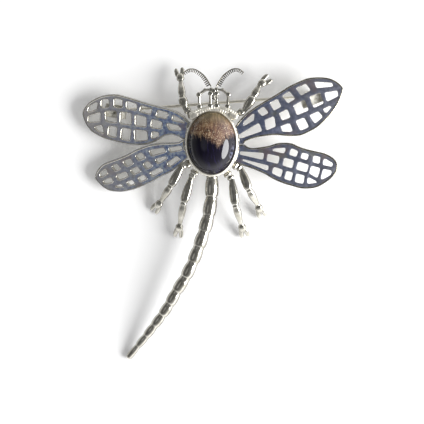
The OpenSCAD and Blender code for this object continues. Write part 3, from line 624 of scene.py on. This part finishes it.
def shaded_silver(colours):
    """A darker grey copy of the cast silver, for the feelers and the right wings' rims: painted shade."""
    # The darker colours, and the third one, #5c584e, on the sides, are painted shade
    return cast_metal("shaded_silver", linear("#6a665b"), colours.shaded_grey, "#5c584e", 0.18, 0.6, 0.01)


def matt_silver(colours):
    """Left as it came from the mould, matt and grainy, as the fittings behind are, and pale: partly the cast
    metal's own colour and partly painted light, as they lie in the wings' shade.
    """
    # The third colour, #a8a498, is painted shade on the sides
    return cast_metal("matt_silver", linear("#cfccc2"), linear("#f2f1ec"), "#a8a498", 0.7, 0.5, 0.05)


def blued_plate(colours):
    """Silver plate with a blue temper film on its flat faces, rubbed bare and grey at the
    rounded edges and towards the tips: mottled slate blue, painted lighter on the left wings and a
    deeper navy on the right ones as painted reflection, with a rosy and a straw-coloured bloom in
    places and a fine orange-peel speckle."""
    made, add, shader, place = new_material("blued_plate")
    parts = add("ShaderNodeSeparateXYZ", (place,)).outputs
    # The patches' width in millimetres and their detail. The orange peel, the last, is as fine
    # as the picture can show.
    mottle, rosy, yellow, peel = (
        add("ShaderNodeTexNoise", {"Vector": place, "Scale": per_mm(width), "Detail": detail})
        for width, detail in ((0.9, 4.0), (5.0, 2.0), (3.1, 2.0), (0.4, 3.0)))
    # Painted reflection: the left wings' ramp is lighter and the right wings' a deeper navy, as they mirror
    # brighter and darker surroundings
    left, right = (
        set_stops(add("ShaderNodeValToRGB", (mottle,)), stops)
        for stops in (((0.36, colours.blue_dark), (0.5, colours.blue), (0.62, colours.blue_light)),
                      ((0.38, colours.navy_dark), (0.62, colours.navy))))
    # The film thins towards the tips, most on the left wings
    out = add("ShaderNodeMath", (parts["X"],), operation="ABSOLUTE")
    side, bloom, straw, tip = (
        add("ShaderNodeMapRange", row)
        for row in ((parts["X"], -0.01, 0.01, 0.0, 1.0), (rosy, 0.54, 0.7, 0.0, 0.7),
                    (yellow, 0.6, 0.74, 0.0, 0.5), (out, 0.014, 0.038, 0.0, 0.85)))
    held = add("ShaderNodeMath", (side, -0.65, 1.0), operation="MULTIPLY_ADD")
    thin = add("ShaderNodeMath", (tip, held), operation="MULTIPLY")
    colour = left.outputs[0]
    # The first mix, by side, lays the painted reflection: the right wings' deeper navy over the left wings'
    # lighter blue
    for share, coat in ((side, right), (bloom, colours.bloom), (straw, colours.straw), (thin, colours.worn)):
        sockets = {SHARE: share, UNDER: colour, OVER: coat}
        colour = add("ShaderNodeMix", sockets, data_type="RGBA").outputs[MIXED]
    # The film is only where the plate is flat: its rounded edges face away from straight up
    film = facing_up(add, 0.8, 0.95)
    sockets = {SHARE: film, UNDER: colours.silver, OVER: colour}
    colour = add("ShaderNodeMix", sockets, data_type="RGBA")
    rough = add("ShaderNodeMath", (film, 0.2, 0.12), operation="MULTIPLY_ADD")
    bump = add("ShaderNodeBump", {"Height": peel, "Distance": 0.08 * MM, "Strength": 0.8})
    feed(shader, {"Base Color": colour.outputs[MIXED], "Metallic": 1.0, "Roughness": rough, "Normal": bump})
    return made


# Border between the stone's golden and dark parts: across and ahead, in shares of the stone's
# width and length
STONE_BORDER = ((0, 0.66), (0.19, 0.6), (0.4, 0.575), (0.56, 0.495), (0.68, 0.455), (0.82, 0.57), (1, 0.62))


def hawks_eye(colours):
    """Polished hawk's-eye quartz: silky golden fibres ahead, near-black blue fibres behind, a
    ragged border where they interlock, painted glints along the fibres and a hard glassy surface."""
    made, add, shader, place = new_material("hawks_eye")
    centre = add("ShaderNodeMapping", {"Vector": place, "Location": [-c * MM for c in STONE_AT]})
    x, y, z = add("ShaderNodeSeparateXYZ", (centre,)).outputs
    half_w, half_l = STONE_W / 2 * MM, STONE_L / 2 * MM
    across = add("ShaderNodeMapRange", (x, -half_w, half_w))
    ahead = add("ShaderNodeMapRange", (y, -half_l, half_l))
    # The patches' width in millimetres and their detail
    waver, blotches, clouds, specks = (
        add("ShaderNodeTexNoise", {"Vector": centre, "Scale": per_mm(width), "Detail": detail})
        for width, detail in ((4.0, 1.0), (1.3, 2.0), (2.2, 3.0), (0.34, 1.0)))
    # Fibres run along the stone, about 0.5 mm apart and several long, and waver a little
    swing = add("ShaderNodeMath", (waver, 0.5), operation="SUBTRACT")
    swung = add("ShaderNodeCombineXYZ", (
        add("ShaderNodeMath", (swing, 0.002, x), operation="MULTIPLY_ADD"),
        add("ShaderNodeMath", (y, 0.14), operation="MULTIPLY"),
        add("ShaderNodeMath", (z, 0.14), operation="MULTIPLY")))
    fibres = add("ShaderNodeTexNoise", {"Vector": swung, "Scale": per_mm(0.45), "Detail": 3.0})
    # How far ahead of the border a place lies, which fibres make ragged and blotches uneven
    border = set_points(add("ShaderNodeFloatCurve", {"Value": across}), STONE_BORDER)
    past = add("ShaderNodeMath", (ahead, border), operation="SUBTRACT")
    edge = past
    for noise, reach in ((fibres, 0.2), (blotches, 0.12)):
        swing = add("ShaderNodeMath", (noise, 0.5), operation="SUBTRACT")
        edge = add("ShaderNodeMath", (swing, reach, edge), operation="MULTIPLY_ADD")
    golden = add("ShaderNodeMapRange", (edge, -0.05, 0.08), interpolation_type="SMOOTHSTEP")
    # Shares: rosy on the right, olive at the head end, silk and streaks along the fibres, specks,
    # and how near the border is from ahead
    rosy, olive, silk, streak, speck, near = (
        add("ShaderNodeMapRange", row)
        for row in ((across, 0.4, 0.75, 0.0, 0.8), (ahead, 0.76, 0.95, 0.0, 0.8),
                    (fibres, 0.35, 0.65, 0.22, -0.22), (fibres, 0.5, 0.72, 0.0, 1.0),
                    (specks, 0.56, 0.68, 0.0, 1.0), (past, 0.42, 0.02, 0.0, 0.8)))
    shade = add("ShaderNodeMath", (silk, 0.0), operation="MAXIMUM")
    shine = add("ShaderNodeMath", (silk, -1.2), operation="MULTIPLY")
    shine = add("ShaderNodeMath", (shine, 0.0), operation="MAXIMUM")
    # The golden part is cloudy, tinted, and darker and brighter by turns where its silk runs
    warm = set_stops(add("ShaderNodeValToRGB", (clouds,)), (
        (0.33, linear("#3b2a21")), (0.46, linear("#6b4c3a")), (0.58, colours.stone_gold),
        (0.72, linear("#ac9175")))).outputs[0]
    for share, code in ((rosy, "#69544f"), (olive, "#5d5531"), (shade, "#241812"), (shine, "#a88a68")):
        sockets = {SHARE: share, UNDER: warm, OVER: linear(code)}
        warm = add("ShaderNodeMix", sockets, data_type="RGBA").outputs[MIXED]
    # The dark part has violet streaks, most of them near its middle
    off = add("ShaderNodeMath", (across, 0.58), operation="SUBTRACT")
    off = add("ShaderNodeMath", (off,), operation="ABSOLUTE")
    middle = add("ShaderNodeMapRange", (off, 0.08, 0.3, 1.0, 0.15))
    violet = add("ShaderNodeMath", (streak, middle), operation="MULTIPLY")
    # Painted glints: bright specks on the golden fibres near the border
    glint = add("ShaderNodeMath", (speck, near), operation="MULTIPLY")
    glint = add("ShaderNodeMath", (glint, golden), operation="MULTIPLY")
    colour = colours.stone_dark
    for share, over in ((violet, linear("#1c1638")), (golden, warm), (glint, linear("#d6c4a6"))):
        sockets = {SHARE: share, UNDER: colour, OVER: over}
        colour = add("ShaderNodeMix", sockets, data_type="RGBA").outputs[MIXED]
    feed(shader, {"Base Color": colour, "Roughness": 0.05, "IOR": 1.5, "Specular IOR Level": 0.45})
    return made


def pale_paper(colours):
    """Pale paper sheet on a light table: even and matt, lit a little through from below."""
    made, add, shader, place = new_material("pale_paper")
    # Clouds about 30 mm wide in the pulp, barely seen
    tone = add("ShaderNodeTexNoise", {"Vector": place, "Scale": per_mm(30.0), "Detail": 2.0})
    share = add("ShaderNodeMath", (tone, 0.04), operation="MULTIPLY")
    sockets = {SHARE: share, UNDER: linear("#f4f4f4"), OVER: linear("#d8d8d8")}
    colour = add("ShaderNodeMix", sockets, data_type="RGBA").outputs[MIXED]
    feed(shader, {
        "Base Color": colour, "Emission Color": (1, 1, 1, 1), "Emission Strength": 0.12, "Roughness": 0.7})
    return made


def material(maker):
    """The material that a function makes and gives its own name to, made only once."""
    return bpy.data.materials.get(maker.__name__) or maker(bpy.context.scene.brooch_colours)


# Properties


def length_property(name, description, default, low, high):
    """A small length, with its default and its limits in millimetres."""
    return FloatProperty(name=name, description=description, default=default * MM, min=low * MM,
                         max=high * MM, precision=5, subtype="DISTANCE", unit="LENGTH")


def colour_property(name, description, code):
    """A colour, with its default as an sRGB hex code."""
    return FloatVectorProperty(name=name, description=description, default=linear(code), min=0.0, max=1.0,
                               size=4, subtype="COLOR")


class BroochSizes(bpy.types.PropertyGroup):
    """Sizes of the details that the CAD model leaves plain."""

    plate_bevel: length_property("Plate bevel", "Width of the wing plates' polished edge", 0.22, 0.0, 0.4)
    rim_width: length_property("Rim width", "Width of the wings' rolled rim", 0.6, 0.2, 1.0)
    opening_rim: length_property("Opening rim", "Width of the left openings' rolled edge", 0.34, 0.1, 0.6)
    tooth_length: length_property("Tooth length", "Length of the feelers' teeth", TOOTH_L, 0.5, 2.0)
    segment_steps: IntProperty(
        name="Segment steps", description="Rings in each segment of the abdomen", default=18, min=8, max=40)
    teeth: IntProperty(name="Teeth", description="Number of teeth on a feeler", default=TEETH, min=6, max=30)
    bezel_beads: IntProperty(
        name="Bezel beads", description="Number of beads round the bezel", default=36, min=12, max=60)


class BroochColours(bpy.types.PropertyGroup):
    """Colours of the finishes."""

    silver: colour_property("Silver", "Cast metal where it is bright", "#cfccc3")
    silver_dark: colour_property("Dark silver", "Cast metal where it is greyer", "#b7b4a9")
    # Painted shade: a darker grey for the feelers and the right wings' rims
    shaded_grey: colour_property("Shaded", "Cast metal of the feelers and the right wings' rims", "#a5a195")
    # Painted reflection: the left wings' blues are painted lighter and the right wings' navies deeper
    blue: colour_property("Blue", "Left wings", "#acbde3")
    blue_dark: colour_property("Dark blue", "Left wings where they are deeper", "#8595c1")
    blue_light: colour_property("Light blue", "Left wings where they are paler", "#d5e2f0")
    navy: colour_property("Navy", "Right wings", "#9ea6c2")
    navy_dark: colour_property("Dark navy", "Right wings where they are deeper", "#7f89a8")
    bloom: colour_property("Bloom", "Rosy patches on the wings", "#ab9798")
    straw: colour_property("Straw", "Straw-coloured patches on the wings", "#b0b198")
    worn: colour_property("Worn", "Tips of the wings, rubbed nearly bare", "#e2dcd9")
    stone_gold: colour_property("Stone gold", "Golden fibres of the stone", "#8c7358")
    stone_dark: colour_property("Stone dark", "Dark fibres of the stone", "#0a0716")


class BroochStage(bpy.types.PropertyGroup):
    """Camera and light."""

    view_from: FloatVectorProperty(
        name="View from", description="Place of the camera", default=(0.02825, 0.01065, 0.4), size=3,
        subtype="TRANSLATION", unit="LENGTH")
    view_at: FloatVectorProperty(
        name="View at", description="Place in the middle of the picture", default=(0.00034, 0.0008, 0.007),
        size=3, subtype="TRANSLATION", unit="LENGTH")
    picture_width: FloatProperty(
        name="Picture width", description="Width of what the picture shows", default=0.1272, min=0.05,
        max=0.5, subtype="DISTANCE", unit="LENGTH")
    window_power: FloatProperty(
        name="Window power", description="Power of the soft light on the right", default=4.6, min=0, max=50,
        subtype="POWER", unit="POWER")


# Operators


def loop_area(loop):
    return sum(a.x * b.y - b.x * a.y for a, b in zip(loop, loop[1:] + loop[:1])) / 2


def plate_loops(node):
    """The loops of points round the upper face of a pierced CAD plate, the outer one first."""
    form = merged_copy(node)
    beside = {}
    for edge in form.edges:
        levels = sorted(abs(face.normal.z) for face in edge.link_faces)
        upward = max(face.normal.z for face in edge.link_faces)
        # An edge of the upper face lies between it and a wall
        if len(levels) == 2 and levels[0] < WALL_NORMAL and upward > LEVEL_NORMAL:
            for vert in edge.verts:
                beside.setdefault(vert, []).append(edge.other_vert(vert))
    loops, seen = [], set()
    for first in beside:
        loop, here = [], first
        while here is not None and here not in seen:
            seen.add(here)
            loop.append(here.co.copy())
            here = next((vert for vert in beside[here] if vert not in seen), None)
        if len(loop) > 2:
            loops.append(loop)
    form.free()
    return sorted(loops, key=lambda loop: -abs(loop_area(loop)))


def rim_line(node, outer, inner):
    """A line mesh along a plate's edges, drawn into its metal by the radius of the tube to run on
    it, in metres: one radius for the outline and one, or 0 for no tubes, for the openings."""
    points, edges, radii = [], [], []
    for number, loop in enumerate(plate_loops(node)[: None if inner else 1]):
        radius = inner if number else outer
        turn = math.copysign(1, loop_area(loop)) * (-1 if number else 1)
        first, count = len(points), len(loop)
        for i, here in enumerate(loop):
            step = loop[(i + 1) % count] - loop[i - 1]
            inward = Vector((-step.y, step.x, 0)).normalized() * turn
            points.append((here + inward * radius - up(radius * RIM_DEPTH)) / MM)
            edges.append((first + i, first + (i + 1) % count))
            radii.append(radius)
    return line_mesh(node + "_line", points, edges, tube=radii)


class BROOCH_OT_wings(bpy.types.Operator):
    """Bevels the pierced wing plates, rolls their rims and gives them their blue finish"""

    bl_idname = "brooch.wings"
    bl_label = "Wings"

    def execute(self, context):
        sizes = context.scene.brooch_sizes
        tree = tube_tree()
        for name in WINGS:
            form = merged_copy(name)
            level = math.radians(PLATE_FLAT)
            bmesh.ops.dissolve_limit(form, angle_limit=level, verts=form.verts, edges=form.edges)
            source = form_object(form, name + "_source")
            edge = source.modifiers.new("Edge", "BEVEL")
            edge.width = sizes.plate_bevel
            edge.segments = 3
            edge.limit_method = "ANGLE"
            edge.angle_limit = math.radians(PLATE_BEVEL)
            piece = plain_mesh(source, name + "_plate")
            smooth(piece.data, PLATE_CREASE)
            finish_piece(piece, material(blued_plate), "blue_metal", name)
            # Only the left wings' openings have rolled edges. The right wings' rims take the darker shaded
            # silver: painted shade.
            left = name.endswith("left")
            base = rim_line(name, sizes.rim_width / 2, sizes.opening_rim / 2 if left else 0)
            metal = material(cast_silver if left else shaded_silver)
            run_tree(tree, base, {"Material": metal}, name + "_rim", "blue_metal", name)
        return {"FINISHED"}


class BROOCH_OT_abdomen(bpy.types.Operator):
    """Sweeps the segmented abdomen along its curve"""

    bl_idname = "brooch.abdomen"
    bl_label = "Abdomen"

    def execute(self, context):
        place = STONE_AT - Vector((0, CUP.y + SEAM, 0))
        share = 0.0
        end_w = ABDOMEN_W * TAIL_END
        end_z = end_w * ABDOMEN_FLAT / 2
        points, numbers, halves = [], [], []
        for i, (length, width, turn) in enumerate(SEGMENTS):
            after = SEGMENTS[min(i + 1, len(SEGMENTS) - 1)][1]
            reach = heading(270 - ABDOMEN_TURN * turn) * ABDOMEN_L * length
            for t in (k / SEGMENT_PLACES for k in range(SEGMENT_PLACES)):
                s = share + length * t
                fall = s**ABDOMEN_FALL
                arch = ABDOMEN_W * ABDOMEN_ARCH * math.sin(math.pi * s)
                points.append(place + reach * t + up(LIMB_Z * (1 - fall) + end_z * fall + arch))
                numbers.append(i + t)
                wider = ABDOMEN_WIDER - ABDOMEN_TAPER * s**4
                halves.append((width + (after - width) * t) * ABDOMEN_W / 2 * MM * wider)
            place += reach
            share += length
        # The last place ends the last segment, just short of where the next would start
        points.append(place + up(end_z))
        numbers.append(len(SEGMENTS) - 0.001)
        halves.append(end_w / 2 * MM / BARREL[-1][1])
        base = line_mesh("abdomen_line", points, chain(len(points)), segment=numbers, half_width=halves)
        values = {
            "Steps": context.scene.brooch_sizes.segment_steps * len(SEGMENTS), "Sides": ABDOMEN_SIDES,
            "Flatness": ABDOMEN_FLAT * ABDOMEN_TALLER, "Shoulder": ABDOMEN_SHOULDER,
            "Material": material(cast_silver)}
        run_tree(barrel_tree(), base, values, "abdomen_body", "silver_metal", "abdomen")
        return {"FINISHED"}


def joint_place(joints, s):
    """The place at a station of a leg, where whole numbers are its joints."""
    i = min(int(s), len(joints) - 2)
    return joints[i].lerp(joints[i + 1], s - i)


class BROOCH_OT_legs(bpy.types.Operator):
    """Sweeps the six legs with their hips, knees, ankles and claws"""

    bl_idname = "brooch.legs"
    bl_label = "Legs"

    def execute(self, context):
        stations = []
        for (s0, w0), (s1, w1) in zip(LEG_FORM, LEG_FORM[1:]):
            for t in (0, 1 / 3, 2 / 3):
                stations.append((s0 + (s1 - s0) * t, w0 + (w1 - w0) * t * t * (3 - 2 * t)))
        stations.append(LEG_FORM[-1])
        for name, (root_a, hip_a, thigh_a, shin_a, foot_a, hip_l, thigh, shin, claw_z, rise) in LEGS.items():
            root = cup_point(root_a, LEG_OUT) + up(LIMB_Z)
            hip = root + heading(hip_a) * hip_l
            knee = hip + heading(thigh_a) * thigh + up(rise)
            drop = claw_z - knee.z
            ankle = knee + heading(shin_a) * shin + up(drop * SHIN_DROP)
            toe = ankle + heading(foot_a) * FOOT_L + up(drop * (1 - SHIN_DROP))
            joints = (root, hip, knee, ankle, toe)
            spots = [(joint_place(joints, s), w * THIGH_W * LEG_WIDER, w * THIGH_W) for s, w in stations]
            skins = [limb_rings(spots, LEG_SIDES, LEG_PRESS)]
            for side in (-1, 1):
                spread = heading(foot_a + 90) * side * THIGH_W
                spots = [(joint_place(joints, s) + spread * out, w * THIGH_W, min(w * THIGH_W, CLAW_HEIGHT))
                         for s, out, w in CLAW_FORM]
                skins.append(limb_rings(spots, CLAW_SIDES, CLAW_PRESS))
            cast_piece(name + "_cast", skins, LEG_CREASE, material(cast_silver), "silver_metal", name)
        return {"FINISHED"}


class BROOCH_OT_head(bpy.types.Operator):
    """Builds the head's bars and balls on their yoke of granules"""

    bl_idname = "brooch.head"
    bl_label = "Head"

    def execute(self, context):
        points, radii, edges = [], [], []

        def put(place, size):
            """Puts a bead at a place in the head and gives its number"""
            points.append(place)
            radii.append(size / 2 * MM)
            return len(points) - 1

        for side in (-1, 1):
            foot, top, inner_foot, inner_top = (put(head_point(b, side), FOOT_BALL_D) for b in HEAD_BALLS)
            crown = put(head_point(CROWN_SIDE, side), CROWN_BALL_D)
            brow = put(head_point(BROW, side), BAR_D)
            edges += [(foot, top), (inner_foot, inner_top), (top, brow), (brow, crown), (inner_top, crown)]
        edges.append((put(head_point(CROWN), BALL_D), put(head_point(NOSE), BAR_D)))
        tree = bead_tree()
        values = {"Bar radius": BAR_R * MM, "Bead detail": 20, "Material": material(cast_silver)}
        base = line_mesh("head_points", points, edges, bead=radii)
        run_tree(tree, base, values, "head_frame", "silver_metal", "head")

        points, radii = [], []
        for share, start, end, count, size in GRANULE_ROWS:
            for i in range(count):
                # A wave stands for the chance differences of granules that are set by hand
                uneven = GRANULE_UNEVEN * math.sin(7 * i + 30 * share)
                angle = start + (end - start) * i / (count - 1) + uneven * GRANULE_STRAY
                place = oval(angle, YOKE_W * share, YOKE_L * (share - GRANULE_BACK))
                put(STONE_AT + place + Vector((HEAD_X, 0, GRANULE_Z)), size * (1 + uneven))
        base = line_mesh("granule_points", points, [], bead=radii)
        values["Material"] = material(satin_silver)
        run_tree(tree, base, values, "head_granules", "silver_metal", "head")

        sections = []
        for i in range(YOKE_STEPS + 1):
            angle = YOKE_ARC[0] + (YOKE_ARC[1] - YOKE_ARC[0]) * i / YOKE_STEPS
            outer = oval(angle, YOKE_W, YOKE_L) + Vector((HEAD_X, 0, 0))
            # The inner side runs just outside the cup, straight behind the outer one
            inner = cup_point(math.degrees(math.atan2(outer.y / CUP.y, outer.x / CUP.x)), YOKE_CLEAR)
            outer += STONE_AT
            low, high = up(BAND_Z), up(BAND_Z + BAND_H)
            sections.append([outer + low, outer + high, inner + high, inner + low])
        cast_piece("head_yoke", [sections], None, material(satin_silver), "silver_metal", "head")
        return {"FINISHED"}


class BROOCH_OT_feelers(bpy.types.Operator):
    """Bends the two feelers and sets their teeth"""

    bl_idname = "brooch.feelers"
    bl_label = "Feelers"

    def execute(self, context):
        sizes = context.scene.brooch_sizes
        tree = feeler_tree()
        # The feelers take the darker shaded silver: painted shade
        values = {
            "Wire radius": FEELER_R * MM, "Teeth": sizes.teeth, "Tooth length": sizes.tooth_length,
            "Tooth width": TOOTH_W * MM, "Material": material(shaded_silver)}
        shares = [i / FEELER_STEPS for i in range(FEELER_STEPS + 1)]
        for name, side in (("antenna_left", -1), ("antenna_right", 1)):
            start = head_point(CROWN_SIDE, side) + Vector((0, FEELER_START, 0))
            points = []
            for t in shares:
                flat = curve_place(FEELER_COURSE, t)
                reach = Vector((side * flat.x * FEELER_REACH, flat.y * FEELER_RISE, FEELER_LIFT * t))
                points.append(start + reach)
            steps = [along(points, i) for i in range(len(points))]
            inward = [Vector((step.y, -step.x, 0)).normalized() * side for step in steps]
            base = line_mesh(name + "_line", points, chain(len(points)),
                             taper=[1 - FEELER_TAPER * t for t in shares],
                             inward_x=[way.x for way in inward], inward_y=[way.y for way in inward])
            run_tree(tree, base, values, name + "_wire", "silver_metal", name)
        return {"FINISHED"}


class BROOCH_OT_setting(bpy.types.Operator):
    """Turns up the bezel with its rounded lip and beads its outside"""

    bl_idname = "brooch.setting"
    bl_label = "Setting"

    def execute(self, context):
        metal = material(satin_silver)
        rings = [[cup_point(360 * j / OVAL_SIDES, out) + up(z) for j in range(OVAL_SIDES)]
                 for out, z in CUP_SECTION]
        cast_piece("setting_cup", [rings], CUP_CREASE, metal, "silver_metal", "setting")
        count = context.scene.brooch_sizes.bezel_beads
        middle = up(BAND_Z + BAND_H / 2)
        points = [cup_point(360 * (i + 0.5) / count, BEZEL_BEAD_OUT) + middle for i in range(count)]
        base = line_mesh("bezel_points", points, [], bead=[BEZEL_BEAD_R * MM] * count)
        values = {"Bead detail": 16, "Material": metal}
        run_tree(bead_tree(), base, values, "setting_beads", "silver_metal", "setting")
        return {"FINISHED"}


class BROOCH_OT_stone(bpy.types.Operator):
    """Domes the cabochon"""

    bl_idname = "brooch.stone"
    bl_label = "Stone"

    def execute(self, context):
        edge = STONE_Z + GIRDLE_H
        # Rings: share of the stone's outline, height, up the girdle and then over the dome
        levels = [(0.97, STONE_Z), (1.0, STONE_Z + 0.25), (1.0, edge - 0.1)]
        for i in range(DOME_LEVELS):
            way = heading(DOME_REACH * i / (DOME_LEVELS - 1))
            levels.append((way.x, edge + DOME_H * way.y))
        outline = [oval(360 * j / OVAL_SIDES, STONE_W / 2, STONE_L / 2) for j in range(OVAL_SIDES)]
        rings = [[STONE_AT + place * scale + up(z) for place in outline] for scale, z in levels]
        cast_piece("stone_dome", [rings], STONE_CREASE, material(hawks_eye), "stone", "stone")
        return {"FINISHED"}


class BROOCH_OT_fittings(bpy.types.Operator):
    """Gives the pin, its hinge and its catch their metal"""

    bl_idname = "brooch.fittings"
    bl_label = "Pin fittings"

    def execute(self, context):
        for name in FITTINGS:
            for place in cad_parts[name].material_slots:
                place.material = material(satin_silver if name == "pin_stem" else matt_silver)
        return {"FINISHED"}


class BROOCH_OT_stage(bpy.types.Operator):
    """Lays the floor, lights it and places the camera"""

    bl_idname = "brooch.stage"
    bl_label = "Stage"

    def execute(self, context):
        stage = context.scene.brooch_stage
        form = bmesh.new()
        bmesh.ops.create_grid(form, x_segments=2, y_segments=2, size=FLOOR_SIZE)
        floor = form_object(form, "floor")
        floor.data.materials.append(material(pale_paper))
        floor.location.z = FLOOR_Z

        world = bpy.data.worlds.new("studio")
        world.use_nodes = True
        add = partial(add_node, world.node_tree)
        way = add("ShaderNodeTexCoord").outputs["Generated"]
        x, y, z = add("ShaderNodeSeparateXYZ", (way,)).outputs
        # Dim straight overhead, pale low down, and brighter on the window's side
        tone = add("ShaderNodeValToRGB", (z,))
        set_stops(tone, [(place, (grey, grey, grey, 1)) for place, grey in SKY])
        slant = add("ShaderNodeMapRange", (x, -0.7, 0.8, 0.3, 1.6))
        # A pale wall high on the left, which the upper left wing mirrors
        sockets = (way, Vector(WALL_TOWARD).normalized())
        toward = add("ShaderNodeVectorMath", sockets, operation="DOT_PRODUCT").outputs["Value"]
        wall = add("ShaderNodeMapRange", (toward, 0.955, 0.99, 0.0, 1.2), interpolation_type="SMOOTHSTEP")
        # A pale room on the side of the tail, which the head and the bezel mirror
        room = add("ShaderNodeMapRange", (y, -0.3, -0.9, 0.0, 0.55), interpolation_type="SMOOTHSTEP")
        glow = add("ShaderNodeMath", (wall, room), operation="ADD")
        light = add("ShaderNodeMath", (slant, glow), operation="ADD")
        feed(world.node_tree.nodes["Background"], {"Color": tone, "Strength": light})
        context.scene.view_settings.view_transform = "Standard"
        context.scene.world = world

        data = bpy.data.lights.new("window", "AREA")
        data.shape = "ELLIPSE"
        data.size, data.size_y = WINDOW_SIZE
        data.energy = stage.window_power
        turn = (WINDOW_TOWARD - WINDOW_AT).to_track_quat("-Z", "Y").to_matrix()
        add_object("window", data).matrix_world = Matrix.Translation(WINDOW_AT) @ turn.to_4x4()

        eye, target = Vector(stage.view_from), Vector(stage.view_at)
        data = bpy.data.cameras.new("camera")
        data.sensor_fit = "HORIZONTAL"
        data.angle = 2 * math.atan(stage.picture_width / 2 / (target - eye).length)
        data.clip_start = 0.01
        look = (target - eye).normalized()
        right = look.cross(Vector((0, 1, 0))).normalized()
        turn = Matrix((right, right.cross(look), -look)).transposed()
        camera = add_object("camera", data)
        camera.matrix_world = Matrix.Translation(eye) @ turn.to_4x4()
        context.scene.camera = camera
        return {"FINISHED"}


GROUPS = {"brooch_sizes": BroochSizes, "brooch_colours": BroochColours, "brooch_stage": BroochStage}
OPERATORS = (
    BROOCH_OT_wings, BROOCH_OT_abdomen, BROOCH_OT_legs, BROOCH_OT_head, BROOCH_OT_feelers, BROOCH_OT_setting,
    BROOCH_OT_stone, BROOCH_OT_fittings, BROOCH_OT_stage,
)


class BROOCH_PT_panel(bpy.types.Panel):
    """Lists the brooch's sizes, colours and pieces"""

    bl_idname = "BROOCH_PT_panel"
    bl_label = "Dragonfly brooch"
    bl_space_type = "VIEW_3D"
    bl_region_type = "UI"
    bl_category = "Brooch"

    def draw(self, context):
        for group in (getattr(context.scene, name) for name in GROUPS):
            box = self.layout.box()
            for key in group.bl_rna.properties.keys():
                if key not in ("rna_type", "name"):
                    box.prop(group, key)
        for operator in OPERATORS:
            self.layout.operator(operator.bl_idname)


CLASSES = (*GROUPS.values(), *OPERATORS, BROOCH_PT_panel)


def register():
    for item in CLASSES:
        bpy.utils.register_class(item)
    for name, group in GROUPS.items():
        setattr(bpy.types.Scene, name, PointerProperty(type=group))


def unregister():
    for name in GROUPS:
        delattr(bpy.types.Scene, name)
    for item in reversed(CLASSES):
        bpy.utils.unregister_class(item)


def main():
    register()
    for operator in OPERATORS:
        group, name = operator.bl_idname.split(".")
        getattr(getattr(bpy.ops, group), name)()


if __name__ == "__main__":
    main()
